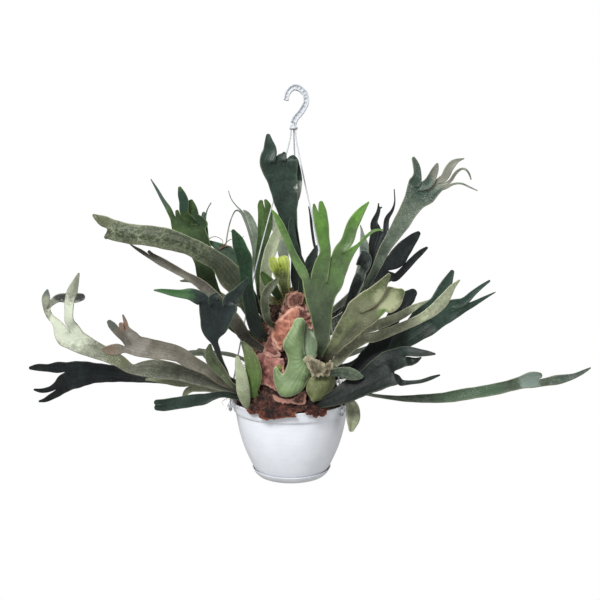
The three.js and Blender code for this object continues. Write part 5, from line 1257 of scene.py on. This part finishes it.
# %% Right side
# The right side, from high to low.
frond("antler_right", "dusk", """38 -26 252 9, 103 -22 292 9.5, 124 -21 324 10,
  142 -20 358 13.5, 156 -20 390 17.5, 167 -20 408 21, 177 -20 424 24.5, 187 -20 440 27.5, 197 -20 458 31,
  207 -20 474 38.5, 216 -20 486 50 (206 -22 502 23.5, 210 -23 516 13.5, 208 -23 530 12.5, 203 -22 543 6)
  (228 -24 502 17.5, 235 -24 515 14, 240 -25 527 10.5, 242 -25 533 5) (245 -22 498 20 (256 -20 512 14,
  262 -18 525 14, 271 -14 536 12.5, 280 -10 541 6, 290 -8 544 1.5) (0.6 -0.6 0.6, 263 -24 504 6,
  271 -28 517 5.5, 280 -32 525 4, 288 -36 523 3.5, 293 -39 514 3, 295 -40 507 1.5) (0.2 -0.7 0.8,
  257 -28 495 6.5, 267 -32 500 3.5, 280 -36 501 3, 292 -40 495 2.5, 305 -42 489 1.5))""", sweep=-60)
frond("dark_right_high", "black", """32 22 246 9, 102 30 293 12.5, 118 36 319 14,
  132 40 351 17.5, 142 40 379 23, 150 40 404 26.5, 155 40 421 31 (145 40 436 13, 152 40 454 7.5,
  154 40 464 6 (153 40 471 2) (158 40 464 3)) (168 42 444 9, 177 42 458 5.5, 182 44 474 2.5,
  181 46 496 1.5)""", sweep=50)
frond("grey_right", "dusk", """34 0 262 9, 90 4 262 13, 103 8 297 15.5, 115 10 328 17.5,
  122 12 359 17.5, 126 12 383 16.5, 125 12 401 14.5, 123 12 414 8, 121 12 426 3.5,
  119 12 433 1.5""", sweep=25)
frond("curled_right", "curled", """42 -20 244 8, 84 -27 260 10, 93 -33 288 12.5,
  101 -38 313 15, 109 -40 333 19, 116 -40 349 23, 121 -46 364 30.5,
  118 -49 378 29.5""", look=(FRONT, (-0.2, -0.3, 1)), sweep=-10)
frond("dark_fork_right", "black", """40 10 236 9, 73 12 254 14, 99 14 289 19,
  123 16 317 22.5, 148 18 338 29.5, 166 18 354 38.5 (180 18 372 32, 192 18 388 28.5, 204 18 402 22.5,
  214 18 413 15.5, 220 18 419 8.5) (179 18 341 15.5, 190 18 350 12, 202 18 363 12, 215 18 377 11.5,
  227 18 388 9, 235 18 394 4.5)""", sweep=55)
frond("pale_broad", "sage", """54 -46 206 9, 69 -85 235 20, 83 -90 256 32, 98 -94 276 40,
  112 -95 293 52.5 (130 -94 320 28, 145 -93 338 18, 156 -93 354 5.5) (140 -92 309 36.5, 155 -88 314 44.5,
  168 -86 320 35, 177 -86 326 13)""", sweep=-45)
frond("pale_long", "strap", """56 -40 194 9, 75 -73 211 15.5, 94 -80 238 23.5,
  114 -80 255 30 (138 -77 271 15.5, 168 -78 283 14.5, 184 -78 291 13, 200 -78 301 9.5, 222 -78 312 1.5)
  (137 -76 252 16, 161 -77 261 15.5, 185 -77 271 14, 209 -77 282 14.5, 228 -77 294 18, 242 -77 307 18.5,
  253 -77 322 14.5, 260 -77 333 9.5, 271 -77 344 3)""", look=RISING, sweep=-25)
frond("blue_antler_right", "deep", """40 -30 186 10, 100 -28 190 22, 129 -27 205 25.5,
  159 -26 222 30.5, 184 -26 239 37.5, 208 -27 256 43, 229 -28 274 50.5 (246 -28 303 27, 256 -28 324 22.5,
  264 -28 342 16, 270 -28 355 7.5) (259 -30 286 35.5, 271 -30 292 33 (288 -32 304 15, 303 -33 318 10,
  317 -34 330 7, 331 -34 340 4) (290 -32 293 12.5, 309 -32 303 8.5, 327 -32 313 5,
  342 -32 321 1.5))""", look=RISING, sweep=15)
frond("dark_round_right", "black", """44 -48 176 9, 100 -54 190 16.5, 124 -54 213 25.5,
  147 -54 236 30.5, 161 -53 262 25.5, 173 -52 289 22.5, 185 -52 305 25.5, 195 -52 316 24,
  201 -52 322 15""", sweep=10)
frond("slate_right", "slate", """34 -80 136 9, 47 -88 144 16, 71 -94 155 26,
  98 -97 170 38.5, 124 -98 183 45, 146 -98 197 52.5, 161 -97 205 60.5 (182 -96 223 33.5 (204 -95 229 13.5,
  220 -94 228 9, 231 -93 227 3) (193 -96 215 14.5, 203 -97 218 8, 208 -97 222 2.5)) (177 -98 181 11,
  194 -99 182 6.5, 210 -99 184 6.5, 224 -99 189 6.5,
  238 -99 194 2.5)""", look=(FRONT_UP, FRONT_UP), sweep=-45)
frond("long_right", "dust", """62 -42 142 9, 109 -46 152 6.5, 141 -48 148 6.5,
  166 -49 145 8.5, 191 -50 143 12.5, 224 -50 143 15, 258 -50 145 18.5, 291 -50 150 20.5, 324 -50 156 20.5,
  349 -50 161 20, 369 -50 166 20, 386 -50 171 21.5, 401 -50 175 26, 411 -50 176 26 (415 -50 183 10)
  (426 -50 172 14, 442 -50 175 16, 457 -50 178 13.5, 472 -50 182 9, 487 -50 189 6.5,
  499 -50 196 2)""", look=((0, -0.6, 1), (0, -1, 0.5)), sweep=-25, cup=0.25)
frond("scrap_right", "dust", """48 -56 186 7, 76 -104 200 14, 94 -108 198 20,
  108 -108 194 13, 113 -108 193 6""")
frond("rim_leaf_right", "strap", """72 -44 138 8, 93 -58 141 15, 101 -68 135 21,
  102 -76 118 24, 99 -80 100 10""", look=(UP_FACE, (0.5, -1, 0.1)))
print("right side laid")

# %% Upright blades at the left
# Two tall shields and a half hidden frond at the left.
frond("shield_felted", "pale", """-62 -62 136 7, -70 -84 138 9, -76 -90 161 19.5,
  -79 -92 188 19.5, -84 -90 210 11.5, -86 -88 221 5""", cup=-0.35)
frond("shield_crescent", "crescent", """-50 -66 136 9, -61 -78 160 14.5, -59 -84 183 22,
  -62 -84 207 24.5, -69 -80 228 17, -78 -74 242 6.5""", cup=-0.35)
frond("tucked_left", "fresh", """-34 28 248 8, -80 31 330 16, -94 32 360 24.5,
  -108 33 381 26.5, -124 33 393 17.5, -143 33 404 5.5""", sweep=10)
print("upright blades at the left laid")

# %% Young growth
# Young growth at the crown.
frond("young_crown", "young", """-8 -22 312 9, -12 -38 334 16, -15 -41 349 23,
  -18 -42 364 31.5 (-30 -42 375 13) (-13 -42 374 20.5)""", cup=0.45)
frond("young_left", "grass", """-14 -24 300 8, -30 -46 331 15.5, -38 -50 341 16.5,
  -47 -50 354 6.5""", cup=0.4)
frond("young_shield", "olive", """-22 -38 262 8, -36 -78 277 9.5, -40 -82 293 13,
  -42 -82 310 13.5, -39 -80 324 13.5, -29 -78 337 12, -19 -76 347 5""", cup=0.3)
print("young growth laid")

# %% Back fronds
# The back of the plant.
frond("back_high", "grass", """-4 24 306 9, -12 62 356 15, -18 98 400 22,
  -22 122 430 32 (-10 138 452 14, -8 152 474 5) (-40 140 450 14,
  -50 158 464 5)""", look=((0, 1, 0.3), (0, 1, 0.5)))
frond("back_left_high", "sage", """-24 40 244 9, -76 92 272 16, -128 142 294 25,
  -164 178 306 38 (-174 216 318 16, -178 242 316 5) (-198 196 322 18,
  -226 214 322 5)""", look=((-0.4, 1, 0.6), (-0.3, 1, 0.8)))
frond("back_right_high", "deep", """28 42 240 9, 78 94 276 16, 124 146 310 25,
  150 182 330 38 (184 200 348 17, 206 226 356 5) (154 222 344 17,
  150 256 342 5)""", look=((0.4, 1, 0.6), (0.3, 1, 0.8)))
frond("back_left_low", "slate", """-48 44 166 10, -96 88 186 17, -144 132 188 28,
  -172 160 184 38 (-178 200 176 17, -180 232 160 5) (-206 172 180 17,
  -238 186 168 5)""", look=((-0.4, 1, 0.7), (-0.3, 1, 0.9)))
frond("back_right_low", "slate", """50 42 162 10, 98 86 188 17, 146 128 198 28,
  172 156 198 38 (204 170 196 17, 236 184 184 5) (180 196 190 17,
  182 230 176 5)""", look=((0.4, 1, 0.7), (0.3, 1, 0.9)))
frond("back_middle", "dust", """0 62 176 10, 2 118 204 17, 6 172 206 28,
  8 204 198 40 (28 234 186 18, 42 262 164 5) (-14 236 188 18,
  -26 266 166 5)""", look=((0, 1, 0.8), (0, 1, 0.9)))
print("back fronds laid")

# %% Dry wisps
# Thin curled strands where the tip of tucked_left has dried up.
wisps = ["-138 38 380  -147 38 395  -145 37 409  -133 36 413  -121 35 406  -123 34 395",
         "-133 39 386  -115 37 397  -102 36 395  -94 35 406  -97 34 420  -109 33 423",
         "-128 40 390  -108 41 408  -94 42 406  -84 43 414"]
for number, route in enumerate(wisps):
    line = smooth(numbers(route, 3), 3.0)
    piece(f"dry_wisp_{number}", tube(line, np.linspace(1.0, 0.4, len(line)), 5), ["fibre"])
print("wisps", len(wisps))

# %% [markdown]
# ## Roots and moss
# Thin roots mat the mound and stick out of it, and tufts of dry moss sit between the feet of the fronds.
# Both are made by the thousand, so each is a tube with three sides and eight rows.

# %% Root threads
THREAD_ROWS, THREAD_SIDES = 8, 3
BARE = (math.radians(-42), math.radians(-122) + TURN)   # green and papery shields cover the rest
BARE_LOW, BARE_HIGH = 152, 300


def threads(name, count, skin, low, high, length, radius, curl, seed, stand=0.5):
    """Short threads on the mound: each starts at a chance place and wanders outwards and down."""
    chance = np.random.default_rng(seed)
    z = chance.uniform(low, high, count)
    wide = chance.uniform(*BARE, count)
    azimuth = np.where((z < BARE_LOW) | (z > BARE_HIGH), chance.uniform(0, TURN, count), wide)
    base = mound_point(azimuth, z)
    out = outward(base)
    along = unit(chance.normal(size=(count, 3)) * [1, 1, 1.2] + out * stand)[:, None]
    t = np.linspace(0, 1, THREAD_ROWS)[None, :, None]
    bend = unit(chance.normal(size=(count, 3)))[:, None]
    size = chance.uniform(0.5, 1.0, count)[:, None, None] * length
    out = out[:, None]
    line = base[:, None] - out + (along * t + bend * curl * np.sin(t * 4)) * size
    line = line + out * np.sin(t * np.pi) * 1.5
    run = unit(np.gradient(line, axis=1))
    side = unit(np.cross(run, np.array([0.3, 0.2, 0.93])))
    up = np.cross(side, run)
    a = np.linspace(0, TURN, THREAD_SIDES, endpoint=False)[:, None]
    thick = radius * (1 - 0.7 * t)[..., None]
    ring = line[:, :, None] + thick * (np.cos(a) * side[:, :, None] + np.sin(a) * up[:, :, None])
    starts = (np.arange(count) * THREAD_ROWS * THREAD_SIDES)[:, None]
    quads = (ring_quads(THREAD_ROWS, THREAD_SIDES)[None] + starts[:, None]).reshape(-1, 4)
    last = (THREAD_ROWS - 1) * THREAD_SIDES
    tris = np.vstack([starts + [2, 1, 0], starts + last + [0, 1, 2]])
    piece(name, (ring.reshape(-1, 3), quads, tris), [skin])


threads("root_threads", 1500, "fibre", 136, 318, 26, 0.42, 0.35, 21)
threads("root_tufts", 260, "fibre", 140, 300, 40, 0.5, 0.3, 22, stand=1.0)
threads("moss_tufts", 1400, "moss", 300, 325, 9, 0.5, 0.2, 23, stand=1.4)
print("roots and moss ready")
